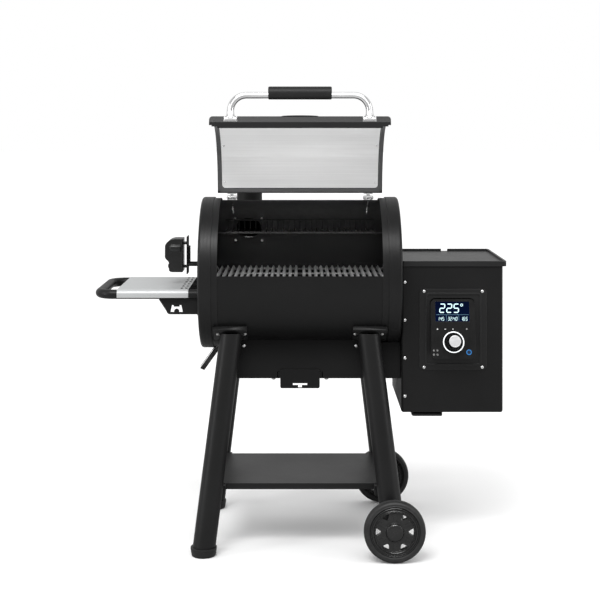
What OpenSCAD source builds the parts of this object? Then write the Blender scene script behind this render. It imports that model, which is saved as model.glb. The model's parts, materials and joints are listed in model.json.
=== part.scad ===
// Pellet smoker grill: a drum cooker on four splayed tube legs, with a
// pellet hopper and controller on the right, a side shelf on the left and
// the drum lid standing open.
// Frame: the origin is on the ground below the middle of the drum, +X to the
// right, +Y to the back, +Z up. Lengths in millimetres.

/* [Barrel] */
// Outer radius of the drum shell
barrel_r = 242; // [240:0.5:242]
// Height of the drum's axis above the ground
barrel_z = 855; // [850:1:860]
// Sheet thickness of the drum shell
shell_t = 2; // [1.5:0.5:3]
// Half width of the cooking opening
open_half = 260; // [240:1:260]
// Outer radius of the raised band on each end cap
cap_r = 247.5; // [247:0.5:250]

/* [Lid] */
// Angle the lid stands open at rest
lid_open = 75; // [0:1:75]
// Half width of the lid shell
lid_half = 276; // [270:1:278]
// Hinge axis, distance behind the drum's axis
hinge_y = 67; // [67:1:68]
// Hinge axis height
hinge_z = 1096.9; // [1096.5:0.1:1098]
// Diameter of the handle tube
handle_d = 20.5; // [16:0.5:24]
// Diameter of the handle grip
grip_d = 41; // [34:1:44]

/* [Grates] */
// Height of the cooking surface
grate_z = 852; // [846:1:854]
// Half width of the pair of grates
grate_half = 303; // [290:1:305]
// Pitch of the grate bars
bar_pitch = 19.8; // [18:0.1:20]

/* [Hopper] */
// Left face of the hopper
hop_x0 = 323; // [323:1:330]
// Right face of the hopper
hop_x1 = 649; // [640:1:660]
// Front face of the hopper
hop_y0 = -150; // [-150:1:-145]
// Back face of the hopper
hop_y1 = 256; // [250:1:260]
// Underside of the hopper
hop_z0 = 423; // [415:1:430]
// Rim of the hopper
hop_z1 = 888; // [880:1:889]
// Backward tilt of the control panel
panel_tilt = 13; // [11:1:13]

/* [Side shelf] */
// Height of the shelf top
shelf_z = 818; // [800:1:830]
// Left end of the shelf top
shelf_x0 = -582; // [-590:1:-570]
// Right end of the shelf top
shelf_x1 = -355; // [-360:1:-345]
// Half depth of the shelf top
shelf_half = 179; // [170:1:185]
// Diameter of the frame tube
frame_d = 30; // [28:1:32]

/* [Legs and wheels] */
// Diameter of the leg tubes
leg_d = 71; // [60:1:71]
// Distance of each leg's axis from the middle at the ground, sideways
leg_x = 302; // [295:1:305]
// Distance of each leg's axis from the middle at the ground, front to back
leg_y = 255; // [250:1:258]
// Wheel diameter
wheel_d = 190; // [180:1:200]
// Wheel width
wheel_w = 42; // [36:1:42]
// Axle diameter
axle_d = 12; // [10:1:14]
// Sideways position of the axles
axle_x = 290.5; // [286:0.5:294]

/* [Hidden] */
$fn = 96;

gap = 0.05;                     // left between touching pieces
lid_inner_r = cap_r - 2.45;     // inner face of the lid shell
lid_outer_r = cap_r - 0.5;      // outer face of the lid shell
ledge_r = cap_r - 3.7;          // ledge of the end caps, under the lid
drain_x = -278;                 // grease drain
drain_r = 9;
port_angle = 32.8;              // exhaust port, above the rear horizontal
port_x = -178;
auger_z = 575;
auger_r = 27;
auger_hole_r = auger_r + 0.4;
fan_y = 78;
fan_z = 560;
fan_port_r = 20;
fire_half = 130;                // half depth of the firebox
fire_z0 = 527;                  // underside of the firebox
pin_r = 3;                      // hinge pins and fan shaft
spit_z = 910;

// ---------------- helpers ----------------
// each pair of limits may be given in either order
// 2D profiles are drawn as (Y, Z) and run along X
module along_x(x0, x1) translate([min(x0, x1), 0, 0]) rotate([90, 0, 90])
  linear_extrude(abs(x1 - x0)) children();
// 2D profiles are drawn as (X, Z) and run along Y
module along_y(y0, y1) translate([0, max(y0, y1), 0]) rotate([90, 0, 0])
  linear_extrude(abs(y1 - y0)) children();
module cyl_x(x0, x1, y, z, r) translate([min(x0, x1), y, z]) rotate([0, 90, 0])
  cylinder(h = abs(x1 - x0), r = r);
module cyl_y(y0, y1, x, z, r) translate([x, min(y0, y1), z]) rotate([-90, 0, 0])
  cylinder(h = abs(y1 - y0), r = r);
module box(x0, x1, y0, y1, z0, z1) translate([min(x0, x1), min(y0, y1), min(z0, z1)])
  cube([abs(x1 - x0), abs(y1 - y0), abs(z1 - z0)]);
// rectangle with rounded corners
module rrect(w, h, r) {
  square([w - 2 * r, h], center = true);
  square([w, h - 2 * r], center = true);
  for (i = [-1, 1], j = [-1, 1]) translate([i * (w / 2 - r), j * (h / 2 - r)]) circle(r);
}

// angles round the drum run from 0 at the rear through 90 at the top to 180 at the front
module sector(a0, a1, reach = 420) polygon(concat([[0, 0]],
  [for (i = [0:4]) let (a = a0 + (a1 - a0) * i / 4) reach * [cos(a), sin(a)]]));
module ring(inner_r, outer_r, a0, a1) intersection() {
  difference() {
    circle(outer_r);
    circle(inner_r);
  }
  sector(a0, a1);
}
module barrel_ring(x0, x1, inner_r, outer_r, a0, a1)
  along_x(x0, x1) translate([0, barrel_z]) ring(inner_r, outer_r, a0, a1);
// the drum's own volume, used to cope the pieces that meet it
module drum(r, x0 = -330, x1 = 330) cyl_x(x0, x1, 0, barrel_z, r);
// stands a piece off the drum: local Z points out of the drum at the angle,
// starting at the given distance from the drum's axis
module radial(x, angle, from = 0)
  translate([x, 0, barrel_z]) rotate([angle - 90, 0, 0]) translate([0, 0, from]) children();
// turns a piece drawn with the lid shut to the lid's rest position
module lid_pose() translate([0, hinge_y, hinge_z]) rotate([-lid_open, 0, 0])
  translate([0, -hinge_y, -hinge_z]) children();
module rivet_head(r, h) cylinder(h = h, r1 = r, r2 = r * 0.6, $fn = 32);

// ---------------- drum ----------------
module grease_hole(z, h) translate([drain_x, 0, z]) cylinder(h = h, r = drain_r);
module barrel_shell() color([0.13, 0.13, 0.135]) difference() {
  union() {
    along_x(-318, 318) translate([0, barrel_z]) difference() {
      circle(barrel_r);
      circle(barrel_r - shell_t);
      sector(75, 177);
    }
    // rails that carry the grates
    for (s = [-1, 1]) box(-306, 306, s * 218, s * 239.6, 833.5, 836);
  }
  // burn pot opening, grease drain and exhaust port
  translate([0, 0, 560]) cylinder(h = 120, r = 60);
  grease_hole(560, 120);
  radial(port_x, port_angle) cylinder(h = 300, r = 43);
}

// half section of the right cap: distance from the axis, then X
module cap_profile() {
  band_x0 = 281;
  corner_x = 313;               // where the rolled outer corner starts
  corner_r = 9;
  sheet_t = 2;
  step_r = barrel_r + 0.2;
  corner_at = [cap_r - corner_r, corner_x];
  translate([step_r, open_half]) square([ledge_r - barrel_r - 0.2, 24]);
  translate([step_r, band_x0]) square([cap_r - barrel_r - 0.2, sheet_t]);
  translate([cap_r - sheet_t, band_x0]) square([sheet_t, corner_x - band_x0]);
  intersection() {
    translate(corner_at) difference() {
      circle(corner_r);
      circle(corner_r - sheet_t);
    }
    translate(corner_at) square([corner_r, corner_r]);
  }
  translate([0, 320]) square([cap_r - corner_r, sheet_t]);
}
module end_cap() difference() {
  translate([0, 0, barrel_z]) rotate([0, 90, 0]) rotate_extrude($fn = 180) cap_profile();
  // room for the leg saddles
  for (a = [-58, 217.9]) barrel_ring(250, 276.6, 240, 262, a, a + 20.1);
}
module right_end_cap() color([0.15, 0.15, 0.155]) end_cap();
module left_end_cap() color([0.15, 0.15, 0.155]) difference() {
  mirror([1, 0, 0]) end_cap();
  grease_hole(590, 40);
  cyl_x(-330, -310, 0, spit_z, 9);
}

// ---------------- fire ----------------
rod_z = 580;
rod_r = 5;
module firebox() color([0.14, 0.14, 0.14]) difference() {
  wall = 2;
  x0 = -205;
  x1 = 322.6;
  inner_half = fire_half - wall;
  box(x0, x1, -fire_half, fire_half, fire_z0, 700);
  box(x0 + wall, x1 - wall, -inner_half, inner_half, fire_z0 + wall, 710);
  drum(barrel_r + 0.3);
  drum(cap_r + 1.2, 259.5, 330);
  // ash pan opening, auger and fan holes
  box(-73, 73, -140, -120, fire_z0 + wall, 548.5);
  cyl_x(300, 330, 0, auger_z, auger_hole_r);
  cyl_x(300, 330, fan_y, fan_z, fan_port_r);
}
module burn_pot() color([0.33, 0.32, 0.3]) difference() {
  union() {
    translate([0, 0, 558]) cylinder(h = 92, r = 55);
    translate([0, 0, 642]) cylinder(h = 3, r = 66);
  }
  translate([0, 0, 561]) cylinder(h = 100, r = 53);
  cyl_x(30, 80, 0, auger_z, auger_hole_r);
  cyl_x(-80, -30, 0, rod_z, rod_r + 0.4);
  // air holes, none where the auger and the igniter enter
  for (a = [45, 90, 135, 225, 270, 315], z = [590, 612])
    translate([0, 0, z]) rotate([0, 90, a]) cylinder(h = 80, r = 3, $fn = 24);
}
module igniter_rod() color([0.6, 0.6, 0.62]) {
  cyl_x(-118, -40, 0, rod_z, rod_r);
  cyl_x(-130, -118, 0, rod_z, 9);
}
module heat_baffle() color([0.3, 0.29, 0.28]) {
  // ridged plate as (Y, Z)
  along_x(-120, 120) polygon([
    [-125, 682], [0, 712], [125, 682],
    [125, 685], [0, 715], [-125, 685]]);
  for (x = [-100, 100], y = [-80, 80]) translate([x, y, 631]) cylinder(h = 63, r = 5, $fn = 32);
}
module grease_tray() color([0.36, 0.36, 0.37])
  translate([0, 0, 762]) rotate([0, -2, 0]) difference() {
    wall = 1.5;
    half_w = 255;
    half_depth = 205;
    box(-half_w, half_w, -half_depth, half_depth, 0, 16);
    box(-half_w + wall, half_w - wall, -half_depth + wall, half_depth - wall, wall, 20);
    translate([-244, 0, -5]) cylinder(h = 20, r = 8);
  }
module grease_spout() color([0.2, 0.2, 0.2]) difference() {
  // V-shaped channel
  translate([-262, 0, 605]) rotate([0, 215.7, 0]) translate([0, 0, -6]) linear_extrude(100)
    polygon([[16, -17], [0, 0], [16, 17], [18, 15.6], [2.8, 0], [18, -15.6]]);
  drum(cap_r + 0.3);
}

// ---------------- grates ----------------
module grate(x0, x1) {
  bar_h = 15;
  half_depth = 226;
  under_z = grate_z - bar_h;
  gaps = floor((x1 - x0 - 8) / bar_pitch);
  margin = (x1 - x0 - gaps * bar_pitch) / 2;
  for (i = [0:gaps]) along_y(-half_depth, half_depth)
    translate([x0 + margin + i * bar_pitch, under_z])
      polygon([[-5.2, 0], [5.2, 0], [5.2, 8], [1.6, bar_h], [-1.6, bar_h], [-5.2, 8]]);
  for (y = [-226, -78, 70, 218]) box(x0, x1, y, y + 8, under_z, grate_z - 9.5);
}
module left_grate() color([0.28, 0.28, 0.29]) grate(-grate_half, -0.6);
module right_grate() color([0.28, 0.28, 0.29]) grate(0.6, grate_half);
module warming_rack() color([0.5, 0.5, 0.52]) {
  front_y = 20;
  back_y = 168;
  rack_z = 981;
  back_z = 1014;                // top rail of the upturned back
  under_z = 977.8;
  wire_r = 1.8;
  rail_r = 2.6;
  for (i = [-13:13]) {
    x = i * 19;
    cyl_y(front_y, back_y, x, rack_z, wire_r);
    translate([x, back_y, rack_z]) cylinder(h = back_z - rack_z, r = wire_r);
    translate([x, back_y, rack_z]) sphere(r = wire_r);
  }
  cyl_x(-255, 255, front_y, rack_z, rail_r);
  cyl_x(-255, 255, 100, under_z, 2.4);
  cyl_x(-255, 255, back_y, back_z, rail_r);
  for (s = [-1, 1]) {
    cyl_y(front_y, back_y, s * 252, under_z, rail_r);
    cyl_x(s * 252, s * 319, 60, under_z, rail_r);
  }
}

// ---------------- pellet feed ----------------
auger_shaft_r = 6;
module auger_tube() color([0.42, 0.42, 0.43]) difference() {
  cyl_x(49, 566, 0, auger_z, auger_r);
  cyl_x(40, 570, 0, auger_z, auger_r - 2);
  // opening below the bin
  box(344, 538, -20, 20, auger_z + 5, auger_z + 40);
}
module auger_screw() color([0.5, 0.5, 0.5]) {
  x0 = 52;
  flight_len = 500;
  flight_pitch = 45;
  cyl_x(x0, 596, 0, auger_z, auger_shaft_r);
  translate([x0, 0, auger_z]) rotate([0, 90, 0])
    linear_extrude(height = flight_len, twist = 360 * flight_len / flight_pitch,
                   slices = 110, segments = 4)
      polygon([[3, -2.2], [24.2, -1.2], [24.2, 1.2], [3, 2.2]]);
}
module auger_motor() color([0.3, 0.3, 0.32]) difference() {
  union() {
    box(570, 604, -32, 32, auger_z - 32, auger_z + 45);
    cyl_x(604, 640, 0, auger_z + 14, 24);
  }
  cyl_x(560, 598, 0, auger_z, auger_shaft_r + gap);
}
module fan_cyl(x0, x1, r) cyl_x(x0, x1, fan_y, fan_z, r);
module fan_housing() color([0.22, 0.22, 0.23]) difference() {
  union() {
    fan_cyl(325.2, 374, 40);
    fan_cyl(374, 404, 19);
  }
  fan_cyl(328, 371, 37.5);
  fan_cyl(320, 330, fan_port_r);
  fan_cyl(368, 396, pin_r + gap);
}
module fan_impeller() color([0.62, 0.62, 0.6]) {
  fan_cyl(364, 395, pin_r);
  fan_cyl(365, 367.5, 34);
  difference() {
    fan_cyl(331, 333, 35);
    fan_cyl(330, 334, 28);
  }
  // blades
  for (a = [0:22.5:337.5]) translate([0, fan_y, fan_z]) rotate([a, 0, 0])
    translate([332, 29, -0.6]) cube([34, 5, 1.2]);
}

// ---------------- hopper ----------------
hop_wall = 1.6;
hop_hinge_xs = [380, 592];
hop_hinge_y = hop_y1 + 8;
hop_hinge_z = 893;
hop_knuckle_r = 5;
module hop_plan(inset) translate([(hop_x0 + hop_x1) / 2, (hop_y0 + hop_y1) / 2])
  rrect(hop_x1 - hop_x0 - 2 * inset, hop_y1 - hop_y0 - 2 * inset, 9 - inset);
// front outline of the hopper, with its lower corners rolled
module hop_front(inset) {
  corner_r = 8;
  translate([hop_x0 + inset, hop_z0 + corner_r]) square([hop_x1 - hop_x0 - 2 * inset, hop_z1]);
  translate([hop_x0 + corner_r, hop_z0 + inset]) square([hop_x1 - hop_x0 - 2 * corner_r, 40]);
  for (x = [hop_x0 + corner_r, hop_x1 - corner_r])
    translate([x, hop_z0 + corner_r]) circle(corner_r - inset);
}
module hop_body(inset, h) intersection() {
  translate([0, 0, hop_z0]) linear_extrude(h) hop_plan(inset);
  along_y(hop_y0 - 10, hop_y1 + 10) hop_front(inset);
}
// upright box in the plan of the dump chute
module chute_box(grow, z0, z1) box(364 - grow, 449 + grow, -57 - grow, 39 + grow, z0, z1);
// box centred on the power inlet
module inlet_box(w, h, y0, y1) box(600 - w / 2, 600 + w / 2, y0, y1, 470 - h / 2, 470 + h / 2);
module hopper_shell() color([0.14, 0.14, 0.145]) difference() {
  hop_body(0, hop_z1 - hop_z0);
  hop_body(hop_wall, hop_z1);
  // auger and fan holes in the left face
  cyl_x(hop_x0 - 4, hop_x0 + 8, 0, auger_z, auger_hole_r);
  cyl_x(hop_x0 - 4, hop_x0 + 8, fan_y, fan_z, fan_port_r);
  chute_box(1, hop_z0 - 5, hop_z0 + 5);
  inlet_box(50, 30, hop_y1 - 5, hop_y1 + 5);
  // openings behind the control panel
  box(410, 562.6, hop_y0 - 5, hop_y0 + 5, 760, 790);
  box(430, 543, hop_y0 - 5, hop_y0 + 5, 640, 700);
  // slots in the back
  for (i = [0:5]) box(360 + i * 22, 372 + i * 22, hop_y1 - 5, hop_y1 + 5, 452, 500);
}
// space in the sloped inner walls that lead the pellets to the auger;
// inset from the walls, and over beyond both ends
module bin_space(inset, over) intersection() {
  z0 = 604 - over;
  z1 = 886 + over;
  left_x = hop_x0 + 4 + inset;
  right_x = hop_x1 - 5 - inset;
  along_x(300, 700) polygon([
    [-104 + inset, z1], [-104 + inset, 742], [-21 + inset, z0],
    [21 - inset, z0], [249 - inset, 762], [249 - inset, z1]]);
  along_y(-200, 300) polygon([
    [left_x, z1], [left_x, 740], [346 + inset, z0],
    [536 - inset, z0], [right_x, 760], [right_x, z1]]);
}
module hopper_bin() color([0.24, 0.24, 0.25]) difference() {
  bin_space(0, 0);
  bin_space(1.5, 6);
}
module hopper_guard() color([0.55, 0.55, 0.56]) {
  wire_r = 2.2;
  for (i = [0:10]) cyl_x(hop_x0 + 8, hop_x1 - 9, -85 + i * 32, 772, wire_r);
  for (x = [hop_x0 + 30, 490, hop_x1 - 30]) cyl_y(-100, 245, x, 768.2, wire_r);
}
module dump_chute() color([0.2, 0.2, 0.2]) difference() {
  union() {
    chute_box(0, 419, 546);
    // rails for the slide
    for (x = [358, 450.4]) box(x, x + 4.6, -146, 60, 411, 422.8);
  }
  chute_box(-1.5, 400, 560);
  // left wall, thinned above the hopper floor
  box(357.9, 364.2, -57.2, 39.2, 422.9, 600);
  // groove for the slide
  box(360, 453.4, -150, 70, 413.9, 418.1);
  cyl_x(340, 470, 0, auger_z, 27.6);
}
module dump_slide() color([0.12, 0.12, 0.12]) {
  box(361, 452.4, -149, 55, 414.6, 417.4);
  // pull at the front
  box(361, 452.4, -152, -149, 410.8, 417.4);
}
module hop_lid_plan(inset) {
  x0 = hop_x0 - 0.2;
  x1 = 660;
  y0 = -155;
  y1 = 258.5;
  translate([(x0 + x1) / 2, (y0 + y1) / 2])
    rrect(x1 - x0 - 2 * inset, y1 - y0 - 2 * inset, 10 - inset);
}
module hopper_lid() color([0.4, 0.4, 0.41]) {
  recess_z = 898.6;             // top face inside the raised rim
  difference() {
    translate([0, 0, 889.2]) linear_extrude(16.8) hop_lid_plan(0);
    translate([0, 0, 880]) linear_extrude(17.2) hop_lid_plan(1.6);
    translate([0, 0, recess_z]) linear_extrude(20) hop_lid_plan(7);
    // gap in the rear rim
    box(494, 516, 240, 262, recess_z, 920);
  }
  // hinge knuckles
  for (x = hop_hinge_xs) difference() {
    union() {
      cyl_x(x - 12, x + 12, hop_hinge_y, hop_hinge_z, hop_knuckle_r);
      box(x - 12, x + 12, hop_y1 + 1.6, hop_hinge_y, 889.6, hop_hinge_z);
    }
    cyl_x(x - 20, x + 20, hop_hinge_y, hop_hinge_z, pin_r + gap);
  }
}

// ---------------- controller ----------------
panel_mid = [486.3, -180, 693.8];   // middle of the panel's face
panel_t = 9.7;                      // thickness of the panel
bezel_y = hop_y0 - 3;               // front face of the bezel
// places on the panel's face
window_at = [-1.5, 54.7];
knob_at = [0.2, -41.8];
button_at = [47.7, -73.4];
// back plane of the panel: its middle, its Y at a height, its height at a Y
panel_back = [
  panel_mid[1] + (panel_t + 0.1) * cos(panel_tilt),
  panel_mid[2] - panel_t * sin(panel_tilt)];
function panel_back_y(z) = panel_back[0] + (z - panel_back[1]) * tan(panel_tilt);
function panel_back_z(y) = panel_back[1] + (y - panel_back[0]) / tan(panel_tilt);
// control panel frame: X sideways, Y up the panel, Z out of it
module on_panel(at = [0, 0]) translate(panel_mid) rotate([90 - panel_tilt, 0, 0])
  translate([at[0], at[1], 0]) children();
module at_jacks(z) for (x = [-63, -51.9], y = [-67.7, -80.6]) translate([x, y, z]) children();
module control_bezel() color([0.1, 0.1, 0.1]) difference() {
  tray_y = hop_y0 - 2;
  inside_y = hop_y0 - 3.4;
  union() {
    along_y(bezel_y, hop_y0 - gap) translate([489, 688]) rrect(214, 258, 14);
    // raised rim round the recess
    along_y(hop_y0 - 6.5, tray_y) translate([489.9, 689.2]) difference() {
      rrect(177, 230, 9);
      rrect(168.7, 221.6, 6);
    }
    // tray that holds the panel at its tilt
    along_x(419.3, 553.3) polygon([
      [tray_y, 606], [panel_back_y(606), 606], [tray_y, panel_back_z(tray_y)]]);
  }
  along_x(422.3, 550.3) polygon([[inside_y, 609], [-220, 609], [-220, 800], [inside_y, 800]]);
  // notch for the top of the panel
  intersection() {
    along_y(hop_y0 - 12, hop_y0 + 5) translate([panel_mid[0], panel_mid[2] - 0.3])
      rrect(143.5, 188.5, 17);
    box(400, 570, -200, -100, 763, 800);
  }
}
module control_panel() color([0.09, 0.09, 0.09]) on_panel() difference() {
  translate([0, 0, -panel_t]) linear_extrude(panel_t) rrect(141, 187.6, 16);
  translate([window_at[0], window_at[1], -1.2]) linear_extrude(3) rrect(109.4, 63.9, 3.2);
  translate([knob_at[0], knob_at[1], -12]) cylinder(h = 20, r = 4);
  translate([button_at[0], button_at[1], -12]) cylinder(h = 20, r = 9.3);
  at_jacks(-12) cylinder(h = 20, r = 3.3);
  // hollow back
  translate([0, 0, -20]) linear_extrude(17.4) translate([0, -7]) square([120, 158], center = true);
}
module display_window() color([0.02, 0.06, 0.16]) on_panel(window_at)
  translate([0, 0, -1.1]) linear_extrude(1) rrect(109, 63.5, 3);
module circuit_board() color([0.05, 0.3, 0.15]) on_panel() {
  parts_z = -14.4;              // face of the board
  translate([-54, -80, -16]) cube([108, 72, 1.6]);
  // block and shaft behind the knob
  translate([knob_at[0] - 8, -50, parts_z]) cube([16, 16, 7]);
  translate([knob_at[0], knob_at[1], -8]) cylinder(h = 26, r = 3);
  translate([30, -30, parts_z]) cube([18, 12, 5]);
}
module control_knob() color([0.08, 0.08, 0.085]) on_panel(knob_at) difference() {
  union() {
    translate([0, 0, 0.8]) cylinder(h = 7, r = 28);
    translate([0, 0, 7.8]) cylinder(h = 31, r1 = 25, r2 = 21.5);
    translate([0, 0, 38.8]) cylinder(h = 3, r1 = 18.6, r2 = 17.4);
    // ribs
    for (a = [0:15:345]) rotate(a) translate([21.4, 0, 8]) cylinder(h = 30, r = 1.7);
  }
  translate([0, 0, -1]) cylinder(h = 22, r = 3.05);
}
module power_button() color([0.1, 0.1, 0.12]) on_panel(button_at) {
  translate([0, 0, -7]) cylinder(h = 9, r = 9.1);
  translate([0, 0, -9.4]) cylinder(h = 2.6, r = 10.5);
}
module probe_jacks() color([0.6, 0.6, 0.6]) on_panel() at_jacks(-2.6) difference() {
  cylinder(h = 3.4, r = 3.2);
  translate([0, 0, 0.6]) cylinder(h = 10, r = 1.6);
}
module power_inlet() color([0.08, 0.08, 0.08]) difference() {
  union() {
    inlet_box(49.6, 29.6, hop_y1 - 24, hop_y1 + 1);
    inlet_box(60, 40, hop_y1 + gap, hop_y1 + 3);
  }
  inlet_box(24, 18, hop_y1 - 14, hop_y1 + 5);
}

// ---------------- lid ----------------
handle_x = 218;                 // legs of the handle, either side of the middle
handle_y = -230;
handle_z = 1434;
handle_bend_r = 50;
module lid_shell() color([0.14, 0.14, 0.145]) lid_pose() {
  barrel_ring(-lid_half, lid_half, lid_inner_r, lid_outer_r, 78, 176);
  // side hems
  for (s = [-1, 1])
    barrel_ring(s * (lid_half - 1.6), s * lid_half, lid_inner_r - 0.5, lid_outer_r, 78, 176);
}
module lid_liner() color([0.78, 0.78, 0.79]) lid_pose()
  barrel_ring(-261.5, 261.5, lid_inner_r - 0.6, lid_inner_r - gap, 81.6, 172.8);
// the lip and handle are drawn where they stand with the lid open
module lid_lip() color([0.17, 0.17, 0.175]) difference() {
  intersection() {
    // folded section as (Y, Z): outside, then inside
    along_x(-284.5, 284.5) difference() {
      polygon([
        [-214, 1331], [-240.5, 1331], [-243, 1333.5], [-243, 1350],
        [-233.2, 1366.6], [-230.6, 1368], [-214, 1368]]);
      polygon([
        [-200, 1338.2], [-241, 1338.2], [-241, 1349.5],
        [-231.8, 1365], [-230, 1366], [-200, 1366]]);
    }
    // front outline, with its upper corners rounded
    along_y(-260, -200) {
      translate([0, 1344]) square([569, 28], center = true);
      translate([0, 1351]) square([549, 34], center = true);
      for (i = [-1, 1]) translate([i * 274.5, 1358]) circle(10);
    }
  }
  // clears the drum and its caps when shut
  lid_pose() {
    difference() {
      drum(cap_r + 1);
      drum(600, -lid_half - 0.5, lid_half + 0.5);
    }
    difference() {
      drum(ledge_r + 0.5);
      drum(600, -open_half + 0.6, open_half - 0.6);
    }
    intersection() {
      drum(barrel_r + 1.2);
      box(-300, 300, -300, 0, 800, barrel_z + 14.5);
    }
    barrel_ring(-300, 300, lid_inner_r - 0.7, lid_outer_r + 0.3, 90, 176.1);
  }
  // cutouts for the handle's feet
  for (s = [-1, 1]) box(s * handle_x - 21, s * handle_x + 21, -260, -200, 1352.6, 1380);
}
module handle_foot() {
  box(-20.5, 20.5, -243.5, -216, 1353.2, 1366);
  translate([0, handle_y, 1364]) cylinder(h = 20, r1 = 15.8, r2 = handle_d / 2);
}
module lid_handle() color([0.85, 0.85, 0.86]) {
  bar_half = handle_x - handle_bend_r;
  for (s = [-1, 1]) {
    translate([s * handle_x, 0, 0]) handle_foot();
    // bend from the foot into the bar
    translate([s * bar_half, handle_y, handle_z - handle_bend_r])
      rotate([90, 0, 0]) rotate([0, 0, s > 0 ? 0 : 90])
        rotate_extrude(angle = 90) translate([handle_bend_r, 0]) circle(handle_d / 2);
  }
  cyl_x(-bar_half, bar_half, handle_y, handle_z, handle_d / 2);
}
module lid_grip() color([0.07, 0.07, 0.07]) difference() {
  grip_z = 1441;
  union() {
    cyl_x(-96, 96, handle_y, grip_z, grip_d / 2);
    for (s = [-1, 1]) cyl_x(s * 96, s * 99.6, handle_y, grip_z, grip_d / 2 - 3);
  }
  cyl_x(-110, 110, handle_y, handle_z, handle_d / 2 + gap);
}

// lid hinges: one either side of the middle
hinge_xs = [-229, 229];
knuckle_half = 4.5;             // half width of a body knuckle
module hinge_cyl(x, half, r) cyl_x(x - half, x + half, hinge_y, hinge_z, r);
module leaf(x, half, on_r, a0, a1)
  barrel_ring(x - half, x + half, on_r + 0.1, on_r + 3.1, a0, a1);
module leaf_rivets(angle, on_r) for (x = hinge_xs, t = [-1, 1])
  radial(x + t * 9, angle, on_r + 3.3) rivet_head(4, 2.4);
module lid_hinge_leaves() color([0.82, 0.82, 0.83]) lid_pose() for (x = hinge_xs) difference() {
  union() {
    hinge_cyl(x, 5.6, 6.6);
    leaf(x, 5.6, lid_outer_r, 75.4, 79);
    leaf(x, 15, lid_outer_r, 77.2, 86);
  }
  hinge_cyl(x, 20, pin_r + gap);
}
module body_hinge_leaves() color([0.82, 0.82, 0.83]) for (x = hinge_xs) difference() {
  union() {
    for (t = [-10.5, 10.5]) {
      hinge_cyl(x + t, knuckle_half, 6.6);
      leaf(x + t, knuckle_half, barrel_r, 70, 74.8);
    }
    leaf(x, 15, barrel_r, 62, 72.8);
  }
  hinge_cyl(x, 20, pin_r + gap);
}
module hinge_pins() color([0.7, 0.7, 0.7]) {
  for (x = hinge_xs) {
    hinge_cyl(x, 15.4, pin_r);
    for (t = [-1, 1]) cyl_x(x + t * 15.2, x + t * 17.4, hinge_y, hinge_z, 4.6);
  }
  // hopper lid hinge: pins with their wall leaves
  for (x = hop_hinge_xs) {
    cyl_x(x - 20, x + 20, hop_hinge_y, hop_hinge_z, pin_r);
    for (t = [-1, 1]) {
      x0 = x + t * 12.4;
      x1 = x + t * 20;
      cyl_x(x0, x1, hop_hinge_y, hop_hinge_z, hop_knuckle_r);
      box(x0, x1, hop_y1 + gap, hop_hinge_y, 866, 880);
      box(x0, x1, hop_hinge_y - 3, hop_hinge_y + 3, 872, hop_hinge_z);
    }
  }
}
module lid_rivets() color([0.75, 0.75, 0.75]) lid_pose() {
  // heads inside the lid, then on the hinge leaves
  for (s = [-1, 1], a = [86.6, 120])
    radial(s * 252, a, lid_inner_r - 0.7) rotate([180, 0, 0]) rivet_head(3.6, 1.6);
  leaf_rivets(83.4, lid_outer_r);
}

// ---------------- flue ----------------
flue_y = 280;                   // the vertical flue's axis
flue_r = 44.4;
flue_inner_r = flue_r - 1.6;
stub_len = flue_y / cos(port_angle);    // drum axis to mitre, along the stub
mitre_z = barrel_z + stub_len * sin(port_angle);
// one side of the mitre plane
module mitre_side(z0, z1) translate([port_x, flue_y, mitre_z])
  rotate([port_angle / 2 - 45, 0, 0]) box(-100, 100, -300, 300, z0, z1);
// mitred flue: a stub square to the drum and an upright pipe, cut on one plane
module flue(r, from) {
  intersection() {
    radial(port_x, port_angle, from) cylinder(h = stub_len + 60 - from, r = r);
    mitre_side(-200, 0);
  }
  intersection() {
    translate([port_x, flue_y, mitre_z - 60]) cylinder(h = 1296 - mitre_z + 60, r = r);
    mitre_side(0, 500);
  }
}
module chimney_pipe() color([0.13, 0.13, 0.13]) {
  difference() {
    union() {
      // flange that follows the drum
      intersection() {
        barrel_ring(port_x - 80, port_x + 80, barrel_r + 0.2, barrel_r + 2.6, 5, 55);
        radial(port_x, port_angle) cylinder(h = 400, r = 72);
      }
      flue(flue_r, barrel_r + 1.6);
    }
    radial(port_x, port_angle) cylinder(h = stub_len - 20, r = flue_inner_r);
    translate([port_x, flue_y, mitre_z + 20]) cylinder(h = 400, r = flue_inner_r);
    flue(flue_inner_r, 200);
  }
  // bar that carries the cap's stem
  bar_half = flue_r - 0.8;
  difference() {
    box(port_x - bar_half, port_x + bar_half, flue_y - 7, flue_y + 7, 1262, 1274);
    translate([port_x, flue_y, 1250]) cylinder(h = 40, r = 5.05);
  }
}
module chimney_cap() color([0.12, 0.12, 0.12]) translate([port_x, flue_y, 0]) {
  translate([0, 0, 1246]) cylinder(h = 78, r = 5);
  // half section as (radius, Z)
  rotate_extrude() polygon([
    [0, 1322], [57, 1312], [57, 1302], [59, 1302],
    [59, 1314], [14, 1327], [0, 1328]]);
}

// ---------------- side shelf ----------------
tube_r = frame_d / 2;
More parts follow.
